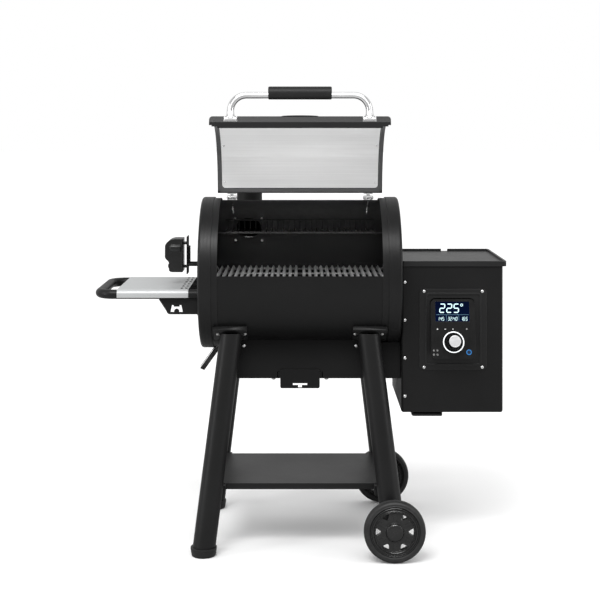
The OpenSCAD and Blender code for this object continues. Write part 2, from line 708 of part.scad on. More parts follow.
// the sheet wraps the frame tube: radius of the roll, and its centre,
// which is the tube's axis
roll_r = tube_r + 1.6;
tube_y = shelf_half - roll_r;
tube_z = shelf_z - roll_r;
module shelf_section(inset) {
  translate([0, -inset - 25]) square([2 * tube_y, 50], center = true);
  translate([0, -roll_r - 25]) square([2 * (shelf_half - inset), 50], center = true);
  for (i = [-1, 1]) translate([i * tube_y, -roll_r]) circle(roll_r - inset);
}
module shelf_top() color([0.8, 0.81, 0.82]) difference() {
  along_x(shelf_x0, shelf_x1) translate([0, shelf_z]) difference() {
    shelf_section(0);
    shelf_section(1.4);
    translate([0, -61]) square([600, 70], center = true);
  }
  // two rows of slots at the right end
  for (i = [0:5], j = [0, 1]) {
    x = shelf_x1 - j * 14;
    y = -152 + i * 55;
    box(x - 13, x - 5, y, y + 30, shelf_z - 5, shelf_z + 5);
  }
}
// the tube loop: two straights, two bends and the end run
module shelf_frame() color([0.12, 0.12, 0.12]) {
  end_x = -658 + tube_r;
  bend_r = 50;
  for (s = [-1, 1]) {
    cyl_x(end_x + bend_r, -322.2, s * tube_y, tube_z, tube_r);
    translate([end_x + bend_r, s * (tube_y - bend_r), tube_z]) rotate([0, 0, s > 0 ? 90 : 180])
      rotate_extrude(angle = 90) translate([bend_r, 0]) circle(tube_r);
  }
  cyl_y(-tube_y + bend_r, tube_y - bend_r, end_x, tube_z, tube_r);
}
module tube_bore(y) cyl_x(-700, -300, y, tube_z, tube_r + gap);
module shelf_bracket() color([0.12, 0.12, 0.12]) for (y = [-tube_y, tube_y]) {
  slot_x = -393;
  under_z = 737.5;
  difference() {
    along_y(y - 1.5, y + 1.5) {
      polygon([
        [-452, tube_z], [-449, 784], [-423.5, 744.6], [-413, 744.6],
        [-413, under_z], [-322.3, under_z], [-322.3, tube_z]]);
      translate([-413.4, 749.5]) circle(12);
    }
    tube_bore(y);
    along_y(y - 5, y + 5) difference() {
      translate([slot_x, 756]) square([38, 22], center = true);
      // tongue from above and a round-ended tongue from below
      translate([slot_x, 766]) square([19, 8], center = true);
      translate([slot_x, 744]) square([16, 8], center = true);
      translate([slot_x, 747.5]) circle(8);
      // slanted ends
      for (i = [-1, 1])
        translate([slot_x + i * 24.2, 752]) rotate([0, 0, i * 12]) square([12, 40], center = true);
    }
  }
  // plate against the end cap
  difference() {
    box(-325.2, -322.1, y - 26, y + 26, under_z, tube_z + 30);
    tube_bore(y);
  }
}

// ---------------- rotisserie drive ----------------
module spit_cyl(x0, x1, r) cyl_x(x0, x1, 0, spit_z, r);
module rotisserie_motor() color([0.1, 0.1, 0.1]) {
  difference() {
    union() {
      // housing as (X, Z)
      along_y(-38, 38) polygon([
        [-386, 966.5], [-416, 966.5], [-427, 963], [-441, 951], [-444, 944],
        [-444, 906], [-431.5, 889], [-431.5, 862], [-427, 857], [-386, 857]]);
      cyl_x(-430, -400, 0, 936, 41);
    }
    spit_cyl(-410, -380, 6.05);
    spit_cyl(-400, -380, 12.05);
  }
  // studs towards the bracket
  for (z = [873, 950]) cyl_x(-386, -373.2, 0, z, 5);
}
module rotisserie_bracket() color([0.14, 0.14, 0.14]) {
  difference() {
    box(-373, -370, -32, 32, 850, 973);
    spit_cyl(-380, -360, 17);
  }
  difference() {
    box(-369.8, -364, -20, 20, 884, 940);
    spit_cyl(-380, -360, 17);
  }
  for (y = [-26, 26]) cyl_x(-370, -322.1, y, 881, 5);
}
module rotisserie_socket() color([0.6, 0.6, 0.6]) difference() {
  union() {
    spit_cyl(-408, -399, 6);
    spit_cyl(-399.6, -386.4, 12);
  }
  box(-397, -340, -4.5, 4.5, spit_z - 4.5, spit_z + 4.5);
}

// ---------------- stand ----------------
slope_x = 0.123;                // sideways splay of the legs
slope_y = 0.12;                 // fore-aft splay of the legs
leg_r = leg_d / 2;
wheel_r = wheel_d / 2;
axle_r = axle_d / 2;
// side x: -1 left, 1 right; side y: -1 front, 1 rear
module leg_frame(sx, sy) translate([sx * leg_x, sy * leg_y, 0])
  rotate([sy * atan(slope_y * cos(atan(slope_x))), -sx * atan(slope_x), 0]) children();
module leg(sx, sy, z0) color([0.16, 0.16, 0.165]) difference() {
  leg_frame(sx, sy) difference() {
    translate([0, 0, -60]) cylinder(h = 800, r = leg_r);
    translate([0, 0, -60]) cylinder(h = 800, r = leg_r - 2.2);
  }
  // trimmed at the foot and the top
  box(-500, 500, -500, 500, -200, z0);
  box(-500, 500, -500, 500, 681, 900);
  drum(barrel_r + 3.4);
  if (sx > 0) cyl_y(sy * 150, sy * 400, axle_x, wheel_r, axle_r + 0.1);
}
module front_left_leg() leg(-1, -1, 28.3);
module rear_left_leg() leg(-1, 1, 28.3);
module front_right_leg() leg(1, -1, 46);
module rear_right_leg() leg(1, 1, 46);
// plates that follow the drum, with a lip over the end of the leg
module leg_saddles() color([0.12, 0.12, 0.12]) for (sx = [-1, 1], sy = [-1, 1]) {
  x0 = sx * 222 - 54;
  x1 = sx * 222 + 54;
  rear = sy > 0;
  barrel_ring(x0, x1, barrel_r + 0.2, barrel_r + 3.2, rear ? -57 : 218.6, rear ? -38.6 : 237);
  barrel_ring(x0, x1, barrel_r + 1.2, barrel_r + 17, rear ? -41.8 : 218.6, rear ? -38.6 : 221.8);
}
module leveling_feet() color([0.08, 0.08, 0.08])
  for (sy = [-1, 1]) translate([-leg_x + 2, sy * (leg_y - 2), 0]) {
    translate([0, 0, 4]) cylinder(h = 24, r = 41);
    cylinder(h = 4, r1 = 38, r2 = 41);
  }
module bottom_shelf() color([0.28, 0.28, 0.285]) {
  difference() {
    translate([0, 0, 187]) linear_extrude(19) rrect(524, 374, 6);
    translate([0, 0, 186]) linear_extrude(18) rrect(521, 371, 5);
  }
  // ears that reach the legs
  for (sx = [-1, 1], sy = [-1, 1]) difference() {
    translate([sx * 252, sy * 196, 197]) cube([34, 30, 14], center = true);
    leg_frame(sx, sy) cylinder(h = 400, r = leg_r + 0.2);
    box(-261, 261, -186, 186, 180, 204.5);
  }
}
module wheel_axles() color([0.6, 0.6, 0.61]) for (s = [-1, 1]) {
  cyl_y(s * 205, s * 333, axle_x, wheel_r, axle_r);
  // spacer between leg and wheel
  difference() {
    cyl_y(s * 283, s * 297.4, axle_x, wheel_r, 11);
    leg_frame(1, s) cylinder(h = 300, r = leg_r + 0.3);
  }
}
// local Z points out of the wheel's outer face
module wheel(s) color([0.08, 0.08, 0.08])
  translate([axle_x, s * (341 - wheel_w / 2), wheel_r]) rotate([s > 0 ? -90 : 90, 0, 0])
    difference() {
      half_w = wheel_w / 2;
      union() {
        rotate_extrude($fn = 160) {
          // tyre
          translate([wheel_r - 14, -half_w + 6]) square([14, wheel_w - 12]);
          translate([wheel_r - 16, -half_w]) square([10, wheel_w]);
          for (i = [-1, 1]) translate([wheel_r - 6, i * (half_w - 6)]) circle(6, $fn = 48);
          // web, ring and hub
          translate([0, -half_w + 5]) square([wheel_r - 15, wheel_w - 16]);
          translate([wheel_r - 34, -half_w + 4]) square([4, wheel_w - 12]);
          translate([0, -half_w + 1]) square([25, wheel_w - 5]);
        }
        // hub dome
        translate([0, 0, half_w - 4.5]) cylinder(h = 5, r1 = 27, r2 = 16);
      }
      // openings between the spokes
      for (k = [0:5]) rotate(k * 60) translate([0, 0, -half_w - 1]) linear_extrude(wheel_w + 2)
        polygon([
          [38, -1.6], [57, -16], [59.5, -15], [61.5, 0],
          [59.5, 15], [57, 16], [38, 1.6]]);
      translate([0, 0, -half_w - 2]) cylinder(h = wheel_w - 4, r = axle_r + gap);
    }
module front_wheel() wheel(-1);
module rear_wheel() wheel(1);

// ---------------- clean-out pan ----------------
module ash_pan() color([0.2, 0.2, 0.2]) {
  difference() {
    box(-70, 70, -131, 66, 530, 547);
    box(-68.5, 68.5, -128, 64.5, 531.5, 560);
  }
  // front plate with its slot
  difference() {
    along_y(-134.5, -131) translate([0, 526]) rrect(127, 60, 6);
    along_y(-140, -120) {
      translate([0, 509]) square([46, 6], center = true);
      translate([0, 503.5]) square([12, 10], center = true);
    }
  }
}

// ---------------- fasteners ----------------
// screw head that faces the front
module screw_y(x, y, z, r) translate([x, y, z]) rotate([90, 0, 0]) rivet_head(r, 2.6);
module body_screws() color([0.35, 0.35, 0.36]) {
  // hopper front and bezel
  for (z = [838, 717, 596, 474]) screw_y(335, hop_y0 - gap, z, 5);
  for (x = [396, 582], z = [809.5, 567]) screw_y(x, bezel_y - gap, z, 4.6);
  // leg saddles
  for (sx = [-1, 1], a = [-47.5, 227.5], d = [-42.5, 42.5])
    radial(sx * 218 + d, a, barrel_r + 3.3) rivet_head(5.5, 3.4);
  // flue flange
  for (i = [-1, 1], j = [-1, 1])
    radial(port_x + i * 49, port_angle + j * 9.5, barrel_r + 2.8) rivet_head(4.6, 3);
  leaf_rivets(66, barrel_r);
  // firebox front and underside
  for (s = [-1, 1]) {
    screw_y(s * 180, -fire_half - gap, 632, 5);
    translate([s * 85, -122, fire_z0 - gap]) rotate([180, 0, 0]) rivet_head(7, 5.5);
  }
}

barrel_shell();
left_end_cap();
right_end_cap();
firebox();
burn_pot();
igniter_rod();
heat_baffle();
grease_tray();
grease_spout();
left_grate();
right_grate();
warming_rack();
auger_tube();
auger_motor();
fan_housing();
hopper_shell();
hopper_bin();
hopper_guard();
dump_chute();
control_bezel();
control_panel();
display_window();
circuit_board();
probe_jacks();
power_inlet();
body_hinge_leaves();
hinge_pins();
chimney_pipe();
shelf_top();
shelf_frame();
shelf_bracket();
rotisserie_motor();
rotisserie_bracket();
front_left_leg();
rear_left_leg();
front_right_leg();
rear_right_leg();
leg_saddles();
leveling_feet();
bottom_shelf();
wheel_axles();
body_screws();
lid_shell();
lid_liner();
lid_lip();
lid_handle();
lid_grip();
lid_hinge_leaves();
lid_rivets();
hopper_lid();
front_wheel();
rear_wheel();
control_knob();
power_button();
ash_pan();
dump_slide();
auger_screw();
fan_impeller();
rotisserie_socket();
chimney_cap();
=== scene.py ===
# Pellet smoker grill: looks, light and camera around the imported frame.
# Metres, +X to the right, +Y to the back, +Z up, origin on the ground below the drum.
import json
import math
import random

import bpy
import bmesh
from mathutils import Matrix, Vector

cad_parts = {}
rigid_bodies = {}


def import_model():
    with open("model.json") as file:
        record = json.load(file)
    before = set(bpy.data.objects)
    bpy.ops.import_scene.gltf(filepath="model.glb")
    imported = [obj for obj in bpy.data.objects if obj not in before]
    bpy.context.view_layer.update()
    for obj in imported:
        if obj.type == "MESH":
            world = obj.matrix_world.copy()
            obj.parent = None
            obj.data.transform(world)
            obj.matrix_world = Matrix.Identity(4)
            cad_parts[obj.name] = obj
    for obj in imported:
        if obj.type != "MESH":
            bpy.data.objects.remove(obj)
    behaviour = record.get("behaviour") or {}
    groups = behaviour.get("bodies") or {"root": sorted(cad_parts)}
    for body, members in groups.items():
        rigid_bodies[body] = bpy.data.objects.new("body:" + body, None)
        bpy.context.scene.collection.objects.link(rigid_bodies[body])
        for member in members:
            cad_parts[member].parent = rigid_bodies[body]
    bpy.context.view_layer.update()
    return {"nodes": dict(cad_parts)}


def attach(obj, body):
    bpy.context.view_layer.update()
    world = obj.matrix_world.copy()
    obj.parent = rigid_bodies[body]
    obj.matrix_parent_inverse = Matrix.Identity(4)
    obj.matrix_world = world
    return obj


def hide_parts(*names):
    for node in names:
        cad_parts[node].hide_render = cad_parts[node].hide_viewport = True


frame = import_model()
NODES = frame["nodes"]
MM = 0.001
random.seed(7)

# driving dimensions of the frame, in millimetres
BZ = 855.0            # drum axis height
CAP_R = 247.5         # drum end bands
SHELL_R = 242.0       # drum shell
HY, HZ = 67.0, 1096.9  # lid hinge axis
OPEN = 75.0           # the lid's angle at rest
LID_RI, LID_RO = CAP_R - 2.45, CAP_R - 0.5
PAN = (486.3, -180.0, 693.8)
TILT = 13.0
PORT_A = 32.8         # exhaust port, above the horizontal


# ------------------------------------------------------------------ node trees
class Tree:
    """Small helper that adds shader nodes and links their inputs."""

    def __init__(self, nt):
        self.nt = nt

    def n(self, kind, ins=None, out=0, **props):
        nd = self.nt.nodes.new("ShaderNode" + kind)
        for k, v in props.items():
            setattr(nd, k, v)
        for k, v in (ins or {}).items():
            sock = nd.inputs[k]
            if isinstance(v, bpy.types.NodeSocket):
                self.nt.links.new(v, sock)
            else:
                sock.default_value = v
        return nd.outputs[out]

    def co(self, scale=None, rot=None):
        c = self.n("TexCoord", out="Object")
        if scale or rot:
            c = self.n("Mapping", {"Vector": c, "Scale": scale or (1, 1, 1),
                                   "Rotation": rot or (0, 0, 0)})
        return c

    def xyz(self, vec, axis):
        return self.n("SeparateXYZ", {"Vector": vec}, out=axis)

    def math(self, op, a, b=0.0, c=0.0, clamp=False):
        nd = self.nt.nodes.new("ShaderNodeMath")
        nd.operation = op
        nd.use_clamp = clamp
        for i, v in enumerate((a, b, c)):
            if isinstance(v, bpy.types.NodeSocket):
                self.nt.links.new(v, nd.inputs[i])
            else:
                nd.inputs[i].default_value = v
        return nd.outputs[0]

    def noise(self, vec, scale, detail=2.0, rough=0.5, dist=0.0):
        return self.n("TexNoise", {"Vector": vec, "Scale": scale, "Detail": detail,
                                   "Roughness": rough, "Distortion": dist}, out=0)

    def remap(self, v, a, b, c, d, smooth=False):
        nd = self.nt.nodes.new("ShaderNodeMapRange")
        nd.interpolation_type = "SMOOTHSTEP" if smooth else "LINEAR"
        nd.clamp = True
        for k, x in (("Value", v), ("From Min", a), ("From Max", b), ("To Min", c), ("To Max", d)):
            if isinstance(x, bpy.types.NodeSocket):
                self.nt.links.new(x, nd.inputs[k])
            else:
                nd.inputs[k].default_value = x
        return nd.outputs[0]

    def mix(self, f, a, b):
        nd = self.nt.nodes.new("ShaderNodeMix")
        nd.data_type = "RGBA"
        for i, x in ((0, f), (6, a), (7, b)):
            if isinstance(x, bpy.types.NodeSocket):
                self.nt.links.new(x, nd.inputs[i])
            else:
                nd.inputs[i].default_value = x
        return nd.outputs[2]

    def bump(self, height, strength, distance, normal=None):
        ins = {"Height": height, "Strength": strength, "Distance": distance}
        if normal is not None:
            ins["Normal"] = normal
        return self.n("Bump", ins)


def rgb(r, g=None, b=None):
    g = r if g is None else g
    b = r if b is None else b
    return (r, g, b, 1.0)


def material(name):
    m = bpy.data.materials.new(name)
    m.use_nodes = True
    nt = m.node_tree
    nt.nodes.clear()
    out = nt.nodes.new("ShaderNodeOutputMaterial")
    b = nt.nodes.new("ShaderNodeBsdfPrincipled")
    nt.links.new(b.outputs[0], out.inputs[0])
    t = Tree(nt)

    def put(**kw):
        for k, v in kw.items():
            sock = b.inputs[{"base": "Base Color", "metal": "Metallic", "rough": "Roughness",
                             "spec": "Specular IOR Level", "coat": "Coat Weight",
                             "coat_rough": "Coat Roughness", "aniso": "Anisotropic",
                             "aniso_rot": "Anisotropic Rotation", "tangent": "Tangent",
                             "normal": "Normal", "emit": "Emission Color",
                             "emit_s": "Emission Strength", "sheen": "Sheen Weight",
                             "ior": "IOR"}[k]]
            if isinstance(v, bpy.types.NodeSocket):
                nt.links.new(v, sock)
            else:
                sock.default_value = v
    return m, t, put


def edge_mask(t, radius, gain):
    """(rounded normal, 0..1 along edges)"""
    bev = t.n("Bevel", {"Radius": radius}, samples=4)
    geo = t.n("NewGeometry", out="Normal")
    dot = t.n("VectorMath", {0: bev, 1: geo}, out="Value", operation="DOT_PRODUCT")
    return bev, t.remap(dot, 0.995, 0.90, 0.0, gain)


def powder(name, base=0.006, rough=0.40, spec=0.30, peel=1.0, edge=0.5, radius=0.0011,
           tint=(1.0, 1.0, 1.02), ribs=None, top_sheen=0.0, coat=0.0, under=None, inner=None):
    """Powder coat on steel: orange peel, slow patchiness, paler on the edges: partly a thinner coat, partly a painted
    edge highlight.
    """
    m, t, put = material(name)
    co = t.co()
    big = t.noise(co, 4.5, 3.0, 0.55)
    mid = t.noise(co, 55.0, 3.0, 0.6)
    fine = t.noise(co, 850.0, 2.0, 0.55)
    grit = t.noise(co, 2600.0, 1.0, 0.5)
    bev, em = edge_mask(t, radius, edge)
    lo = rgb(*(base * 0.82 * c for c in tint))
    hi = rgb(*(base * 1.22 * c for c in tint))
    col = t.mix(t.remap(big, 0.3, 0.7, 0.0, 1.0), lo, hi)
    col = t.mix(t.math("MULTIPLY", t.remap(grit, 0.56, 0.75, 0.0, 1.0), 0.5), col,
                rgb(*(base * 2.1 * c for c in tint)))
    # edges painted paler: partly thinner coat, partly a painted edge highlight
    col = t.mix(em, col, rgb(*(min(base * 4.5 + 0.02, 0.4) * c for c in tint)))
    # up-facing faces painted a patchy paler grey: a painted sheen on the tops
    if top_sheen:
        up = t.xyz(t.n("NewGeometry", out="Normal"), 2)
        d = t.math("MULTIPLY", t.remap(up, 0.5, 1.0, 0.0, top_sheen), t.remap(mid, 0.3, 0.8, 0.5, 1.0))
        col = t.mix(d, col, rgb(0.10, 0.10, 0.10))
    r = t.math("ADD", t.remap(big, 0.25, 0.75, rough - 0.035, rough + 0.035),
               t.remap(mid, 0.3, 0.7, -0.02, 0.03))
    h = t.math("ADD", t.math("MULTIPLY", fine, 1.0), t.math("MULTIPLY", grit, 0.25))
    nrm = t.bump(h, 0.35 * peel, 0.00012, bev)
    if ribs:
        pitch, depth = ribs
        x = t.xyz(co, 0)
        w = t.math("SINE", t.math("MULTIPLY", x, 2 * math.pi / (pitch * MM)))
        w2 = t.math("SINE", t.math("MULTIPLY", x, 2 * math.pi / (pitch * 0.37 * MM)))
        w = t.math("ADD", w, t.math("MULTIPLY", w2, 0.3))
        nrm = t.bump(w, 1.0, depth * MM, nrm)
        r = t.math("ADD", r, t.math("MULTIPLY", w, 0.02))
    if inner:
        # the upper inside of the drum is painted a paler, flatter grey: painted light on the inner shell
        dy, dz = t.xyz(co, 1), t.math("SUBTRACT", t.xyz(co, 2), BZ * MM)
        rad = t.math("SQRT", t.math("ADD", t.math("MULTIPLY", dy, dy), t.math("MULTIPLY", dz, dz)))
        k = t.math("MULTIPLY", t.remap(rad, 0.2410, 0.2414, 1.0, 0.0, True),
                   t.remap(t.xyz(co, 2), inner[1], inner[2], 0.0, 1.0, True))
        inner_lit_grey = t.mix(t.remap(mid, 0.3, 0.75, 0.0, 1.0), rgb(inner[0] * 0.8), rgb(inner[0] * 1.15))
        col = t.mix(k, col, inner_lit_grey)
    if under:
        # less sheen where the sheet turns away below
        spec = t.remap(t.xyz(co, 2), under[0], under[1], spec * under[2], spec, True)
    put(base=col, rough=r, spec=spec, normal=nrm, coat=coat, coat_rough=0.25)
    return m


def brushed(name, tone=0.62, tint=(1.0, 1.0, 1.0), rough=0.33, axis=0, lines=1.0, edge=0.2,
            smudge=1.0, metal=1.0):
    """Brushed stainless steel; the lines run along the given axis."""
    m, t, put = material(name)
    s = [900.0, 900.0, 900.0]
    s[axis] = 4.0
    co = t.co()
    fine = t.noise(t.co(tuple(s)), 1.0, 2.0, 0.6)
    s2 = [150.0, 150.0, 150.0]
    s2[axis] = 1.3
    wide = t.noise(t.co(tuple(s2)), 1.0, 3.0, 0.6)
    cloud = t.noise(co, 7.0, 3.0, 0.55)
    bev, em = edge_mask(t, 0.0009, edge)
    v = t.math("ADD", t.remap(fine, 0.25, 0.75, -0.5, 0.5), t.remap(wide, 0.25, 0.75, -0.35, 0.35))
    col = t.mix(t.remap(v, -0.6, 0.6, 0.0, 1.0),
                rgb(*(tone * 0.93 * c for c in tint)), rgb(*(min(1, tone * 1.06) * c for c in tint)))
    # edges painted paler: partly wear, partly a painted edge highlight
    col = t.mix(em, col, rgb(0.9))
    r = t.math("ADD", t.math("MULTIPLY", v, 0.07 * lines),
               t.remap(cloud, 0.3, 0.7, rough - 0.03 * smudge, rough + 0.04 * smudge))
    nrm = t.bump(t.math("ADD", fine, t.math("MULTIPLY", wide, 0.5)), 0.12 * lines, 0.00004, bev)
    put(base=col, metal=metal, rough=r, normal=nrm, aniso=0.35 if metal == 1.0 else 0.0)
    return m


def metal(name, tone=0.6, tint=(1.0, 1.0, 1.0), rough=0.3, grain=1.0, edge=0.3, scratches=0.5,
          radius=0.0006):
    """Plated or bare metal with clouded roughness and fine handling marks."""
    m, t, put = material(name)
    co = t.co()
    cloud = t.noise(co, 28.0, 4.0, 0.6)
    fine = t.noise(co, 700.0, 2.0, 0.6)
    scr = t.noise(t.co((60.0, 900.0, 340.0), (0.3, 0.5, 0.9)), 1.0, 2.0, 0.7)
    bev, em = edge_mask(t, radius, edge)
    col = t.mix(t.remap(cloud, 0.3, 0.7, 0.0, 1.0), rgb(*(tone * 0.88 * c for c in tint)),
                rgb(*(min(1.0, tone * 1.08) * c for c in tint)))
    # edges painted paler: partly wear, partly a painted edge highlight
    col = t.mix(em, col, rgb(min(1.0, tone * 1.5 + 0.1)))
    r = t.math("ADD", t.remap(cloud, 0.3, 0.7, rough * 0.8, rough * 1.25),
               t.math("MULTIPLY", t.remap(scr, 0.62, 0.72, 0.0, 1.0), 0.12 * scratches))
    nrm = t.bump(fine, 0.15 * grain, 0.00005, bev)
    put(base=col, metal=1.0, rough=r, normal=nrm)
    return m


def plastic(name, base=0.008, rough=0.45, spec=0.4, grain=1.0, scale=1100.0, edge=0.25):
    """Moulded plastic with a fine eroded grain."""
    m, t, put = material(name)
    co = t.co()
    vor = t.n("TexVoronoi", {"Vector": co, "Scale": scale}, out="Distance")
    mid = t.noise(co, 45.0, 3.0, 0.6)
    bev, em = edge_mask(t, 0.0009, edge)
    col = t.mix(t.remap(mid, 0.3, 0.7, 0.0, 1.0), rgb(base * 0.85), rgb(base * 1.2))
    # edges painted paler: partly wear, partly a painted edge highlight
    col = t.mix(em, col, rgb(base * 3 + 0.015))
    r = t.remap(mid, 0.3, 0.7, rough - 0.04, rough + 0.05)
    nrm = t.bump(vor, 0.3 * grain, 0.00010, bev)
    put(base=col, rough=r, spec=spec, normal=nrm)
    return m


def rubber(name, base=0.012):
    m, t, put = material(name)
    co = t.co()
    mid = t.noise(co, 70.0, 4.0, 0.65)
    fine = t.noise(co, 1400.0, 2.0, 0.6)
    bev, em = edge_mask(t, 0.0008, 0.35)
    col = t.mix(t.remap(mid, 0.35, 0.75, 0.0, 1.0), rgb(base * 0.8), rgb(base * 1.5))
    # edges painted paler: partly wear, partly a painted edge highlight
    col = t.mix(em, col, rgb(base * 3.5))
    put(base=col, rough=t.remap(mid, 0.3, 0.7, 0.46, 0.62), spec=0.38,
        normal=t.bump(fine, 0.3, 0.00008, bev))
    return m


def cast_iron(name, base=0.20, rough=0.34, low=None, tips=None):
    """Enamelled cast iron: pitted under a glassy coat."""
    m, t, put = material(name)
    co = t.co()
    pit = t.noise(co, 420.0, 3.0, 0.65)
    lump = t.noise(co, 90.0, 2.0, 0.5)
    cloud = t.noise(co, 16.0, 3.0, 0.6)
    bev, em = edge_mask(t, 0.0012, 0.6)
    col = t.mix(t.remap(cloud, 0.3, 0.7, 0.0, 1.0), rgb(base * 0.88), rgb(base * 1.08))
    col = t.mix(t.remap(pit, 0.30, 0.42, 0.7, 0.0), col, rgb(base * 0.25))
    # edges painted paler: partly wear, partly a painted edge highlight
    col = t.mix(em, col, rgb(min(0.9, base * 3.0)))
    if tips:
        # the rear ends of the bars are painted near-white: a painted highlight
        col = t.mix(t.remap(t.xyz(co, 1), tips, tips + 0.02, 0.0, 0.9, True), col, rgb(0.95))
    if low:
        # below the cooking face the bars are painted almost black: painted shade between the bars
        col = t.mix(t.remap(t.xyz(co, 2), low, low + 0.003, 0.9, 0.0, True), col, rgb(base * 0.06))
    h = t.math("ADD", t.math("MULTIPLY", pit, 0.6), lump)
    put(base=col, metal=0.85, rough=t.remap(pit, 0.3, 0.7, rough + 0.1, rough - 0.04),
        normal=t.bump(h, 0.55, 0.0005, bev), coat=0.6, coat_rough=0.2)
    return m


def burnt(name, base=0.10):
    """Bare steel with heat tint around the fire."""
    m, t, put = material(name)
    co = t.co()
    cloud = t.noise(co, 14.0, 5.0, 0.62, 0.3)
    fine = t.noise(co, 300.0, 3.0, 0.6)
    bev, em = edge_mask(t, 0.0009, 0.5)
    ramp = t.nt.nodes.new("ShaderNodeValToRGB")
    t.nt.links.new(cloud, ramp.inputs[0])
    els = ramp.color_ramp.elements
    els[0].position, els[0].color = 0.30, rgb(base * 0.8, base * 0.8, base * 0.85)
    els[1].position, els[1].color = 0.72, rgb(base * 1.7, base * 1.3, base * 0.9)
    e = els.new(0.48)
    e.color = rgb(base * 1.1, base * 1.15, base * 1.5)
    e = els.new(0.60)
    e.color = rgb(base * 1.8, base * 1.2, base * 1.1)
    # edges painted paler: partly wear, partly a painted edge highlight
    col = t.mix(em, ramp.outputs[0], rgb(base * 3.0))
    put(base=col, metal=0.8, rough=t.remap(fine, 0.3, 0.7, 0.42, 0.62),
        normal=t.bump(fine, 0.3, 0.00015, bev))
    return m


def lit(name, color, strength, base=None):
    """Mark behind a clear film with its own glow; on the printed white ring and the printed panel marks the glow is
    painted light.
    """
    m, t, put = material(name)
    co = t.co()
    v = t.noise(co, 260.0, 2.0, 0.5)
    put(base=rgb(*(base or (0.02, 0.02, 0.02))), rough=0.35, emit=rgb(*color),
        emit_s=t.remap(v, 0.2, 0.8, strength * 0.86, strength * 1.1))
    return m


M = {}
M["shell"] = powder("black_enamel_shell", 0.0062, 0.40, 0.27, edge=0.35, radius=0.0008,
                    under=(0.61, 0.76, 0.45), inner=(0.062, 0.95, 1.06))
M["cap"] = powder("black_enamel_cap", 0.0072, 0.37, 0.31, edge=0.4, ribs=(10.6, 0.03),
                  under=(0.61, 0.80, 0.6))
M["hopper"] = powder("black_enamel_hopper", 0.0068, 0.43, 0.27)
M["firebox"] = powder("black_enamel_firebox", 0.0055, 0.46, 0.24, under=(0.66, 0.55, 0.35))
M["lid"] = powder("black_enamel_lid", 0.0085, 0.38, 0.34)
M["lip"] = powder("black_enamel_lip", 0.0120, 0.38, 0.42)
# a lighter copy of the black enamel: painted light on the rolled hem
M["hem"] = powder("black_enamel_hem", 0.055, 0.34, 0.5)
# the hopper lid and bottom shelf tops get a painted sheen
M["hopper_lid"] = powder("hopper_lid_enamel", 0.011, 0.37, 0.40, top_sheen=0.2)
M["leg"] = powder("leg_enamel", 0.0078, 0.39, 0.30, edge=0.3)
M["shelf2"] = powder("bottom_shelf_enamel", 0.0075, 0.44, 0.32, top_sheen=0.32)
M["bracket"] = powder("bracket_enamel", 0.007, 0.45, 0.28)
M["flue"] = powder("flue_enamel", 0.006, 0.5, 0.25, peel=1.3)
M["bezel"] = powder("bezel_enamel", 0.009, 0.42, 0.34, peel=0.6, edge=0.8, radius=0.0016)
M["bin"] = powder("bin_enamel", 0.03, 0.5, 0.3)
M["liner"] = brushed("stainless_liner", 0.72, (1.0, 1.0, 1.0), 0.46, axis=0, lines=0.6, metal=0.3)
M["shelf"] = brushed("stainless_shelf", 0.57, (0.98, 1.0, 1.005), 0.44, axis=0, lines=1.0, metal=0.35)
M["chrome"] = metal("chrome", 0.93, (1.0, 1.0, 1.005), 0.07, grain=0.03, edge=0.1, scratches=0.2)
M["zinc"] = metal("zinc_steel", 0.55, (1.0, 1.0, 0.99), 0.30)
M["bolt"] = metal("zinc_bolt", 0.92, (1.0, 1.0, 1.0), 0.26)
M["dark_bolt"] = metal("dark_bolt", 0.20, (1.0, 1.0, 1.0), 0.38)
M["grate"] = cast_iron("grate_enamel", 0.60, 0.30, low=0.8425, tips=0.195)
M["rack"] = metal("rack_wire", 0.05, (1.0, 1.0, 1.0), 0.34, grain=0.6)
M["guard"] = metal("guard_wire", 0.45, (1.0, 1.0, 1.0), 0.3)
M["fire"] = burnt("fire_steel", 0.09)
M["tray"] = metal("tray_steel", 0.16, (1.0, 0.98, 0.95), 0.45, grain=1.5)
M["motor"] = metal("motor_body", 0.10, (1.0, 1.0, 1.0), 0.45)
M["plastic"] = plastic("black_plastic", 0.010, 0.42, 0.42)
M["drive"] = plastic("drive_plastic", 0.008, 0.30, 0.46, grain=0.45)
M["knob"] = plastic("knob_plastic", 0.003, 0.60, 0.06, grain=0.2)
M["gloss"] = plastic("black_plastic_smooth", 0.009, 0.24, 0.45, grain=0.25)
M["panel"] = plastic("panel_film", 0.0065, 0.40, 0.28, grain=0.35, scale=2200.0, edge=0.4)
M["grip"] = plastic("grip_plastic", 0.012, 0.46, 0.36, grain=0.8, scale=900.0, edge=0.3)
M["tyre"] = rubber("rubber_tyre", 0.014)
M["rim"] = plastic("rim_plastic", 0.010, 0.25, 0.50, grain=0.25, scale=800.0, edge=0.5)
# the white ring is print: its glow is painted light
M["white"] = lit("white_print", (0.92, 0.97, 1.0), 0.85, (0.7, 0.7, 0.7))
M["digit"] = lit("display_digits", (0.70, 0.98, 1.0), 1.6)
M["dim"] = lit("display_rule", (0.25, 0.55, 0.75), 0.55)
# the panel marks are print: their glow is painted light
M["mark"] = lit("panel_mark", (0.8, 0.8, 0.8), 0.55, (0.5, 0.5, 0.5))
M["mark_dim"] = lit("panel_mark_dim", (0.4, 0.4, 0.4), 0.25, (0.3, 0.3, 0.3))
M["blue_dim"] = lit("symbol_blue", (0.01, 0.10, 0.30), 0.30, (0.005, 0.02, 0.06))
M["blue"] = lit("ring_blue", (0.02, 0.22, 0.62), 0.65, (0.01, 0.06, 0.15))


